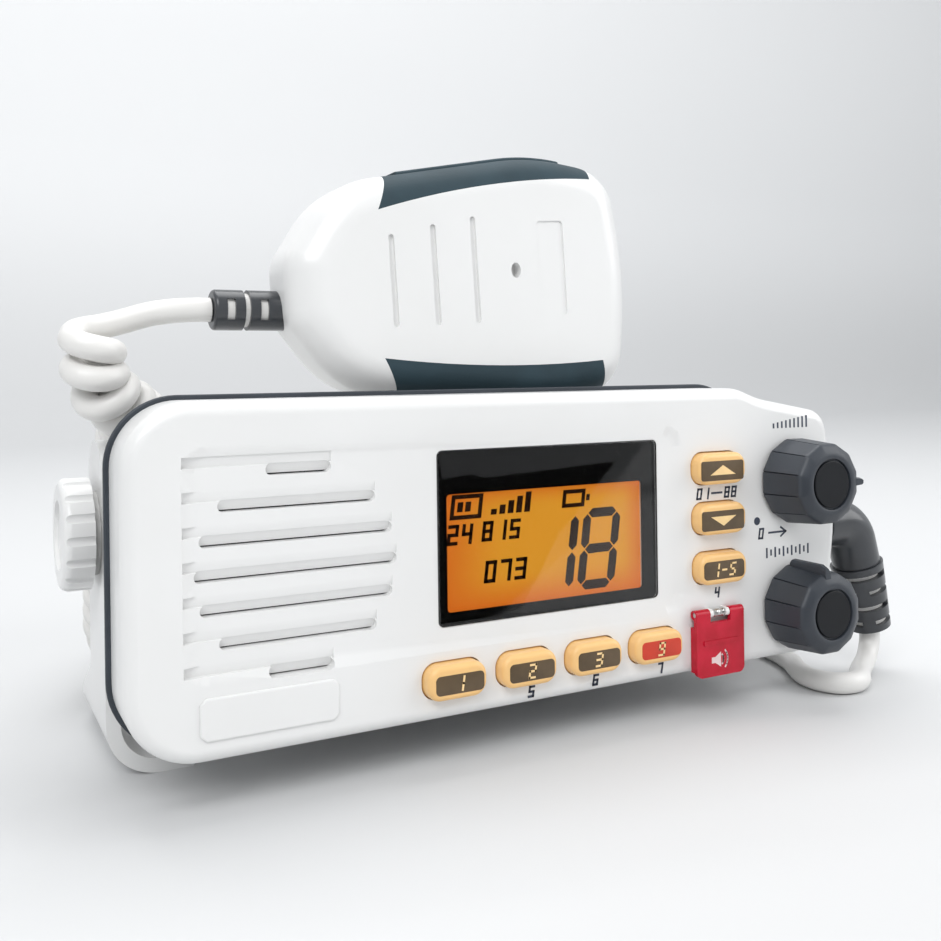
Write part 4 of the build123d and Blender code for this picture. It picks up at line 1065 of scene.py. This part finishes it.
core = tube([Vector(boot_core_top) * MM, Vector(boot_core_end) * MM], 5.3, 4.5, 28)
add_piece("cord_in_boot", [core], jacket, "radio", 60.0)
core = tube([Vector(mic_core_start) * MM, Vector(mic_core_end) * MM], 3.75, 3.75, 28)
add_piece("cord_in_mic_boot", [core], jacket, "microphone", 60.0)


# ------------------------------------------------------------------ gimbal bracket
# A moulded white yoke that screws to the shelf, with rubber friction pads where the set turns.
# A fluted hand knob on a steel stud clamps each side through a rubber washer.
pale_rubber = Finish("pale_rubber", (0.62, 0.62, 0.61), 0.7)
pale_rubber.uneven(70.0, 0.06)
pale_rubber.bump(pale_rubber.noise(1500.0, 3.0), 0.3, 0.0001)
eased("gimbal_bracket", "bracket_frame", white, 0.35)
eased("bracket_pads", "bracket_friction_pads", pale_rubber, 0.2)
for side in ("left", "right"):
    eased(side + "_clamp_knob", side + "_clamp_grip", white, 0.25)
    eased(side + "_clamp_stud", side + "_clamp_screw", steel, 0.0)
    eased(side + "_clamp_washer", side + "_washer", pale_rubber, 0.15)


# ------------------------------------------------------------------ microphone
# Two moulded white shells screwed together round a rubber grip, with a rocking talk lever.
# A steel stud at the back hangs it up.
mic_screw_places = [(-34.88, -20.3, 112.75), (-33.77, -20.3, 93.32),
                    (28.4, -20.3, 94.07), (26.95, -20.3, 119.15)]
mic_screw_sizes = {"Head Radius": 2.6, "Head Height": 1.6, "Shank Radius": 1.2,
                   "Shank Length": 6.4, "Cross Width": 0.7}
grip_look = {"Specular IOR Level": 0.3}
grip_rubber = Finish("teal_grey_rubber", (0.024, 0.047, 0.060), 0.62, fixed=grip_look)
grip_rubber.uneven(90.0, 0.1)
grip_rubber.bump(grip_rubber.noise(1800.0, 3.0), 0.3, 0.0001)
eased("mic_front_shell", "microphone_front", white, 0.25, 40)
eased("mic_back_shell", "microphone_back", white, 0.25, 40)
eased("mic_grip", "microphone_grips", grip_rubber, 0.15, 40)
eased("ptt_lever", "talk_lever", grip_rubber, 0.3)
screw.make("microphone_screws", mic_screw_places, mic_screw_sizes, "microphone", "stainless",
           "mic_screws")
eased("mic_hang_stud", "hang_up_stud", steel, 0.2)


# ------------------------------------------------------------------ inner parts
# Boards of green glass fibre, their key switches, brass inserts for the clamp studs, and the
# microphone's capsule and lever pin. They stay as they were cut.
board_green = Finish("circuit_board", (0.03, 0.16, 0.07), 0.4)
board_green.uneven(400.0, 0.25)
board_green.bump(board_green.noise(2500.0, 2.0), 0.2, 0.00005)
brass = Finish("brass", (0.7, 0.52, 0.2), 0.3, 1.0)
brass.set("Roughness", 0.2 + 0.2 * brass.noise(700.0, 3.0))
brass.uneven(300.0, 0.1)
inner = {
    "main_board": board_green, "front_board": board_green, "mic_board": board_green,
    "thread_inserts": brass, "mic_capsule": steel, "ptt_pin": steel,
    "key_switches": steel, "lcd_holder": white,
}
for node, finish in inner.items():
    refinish(node, finish)
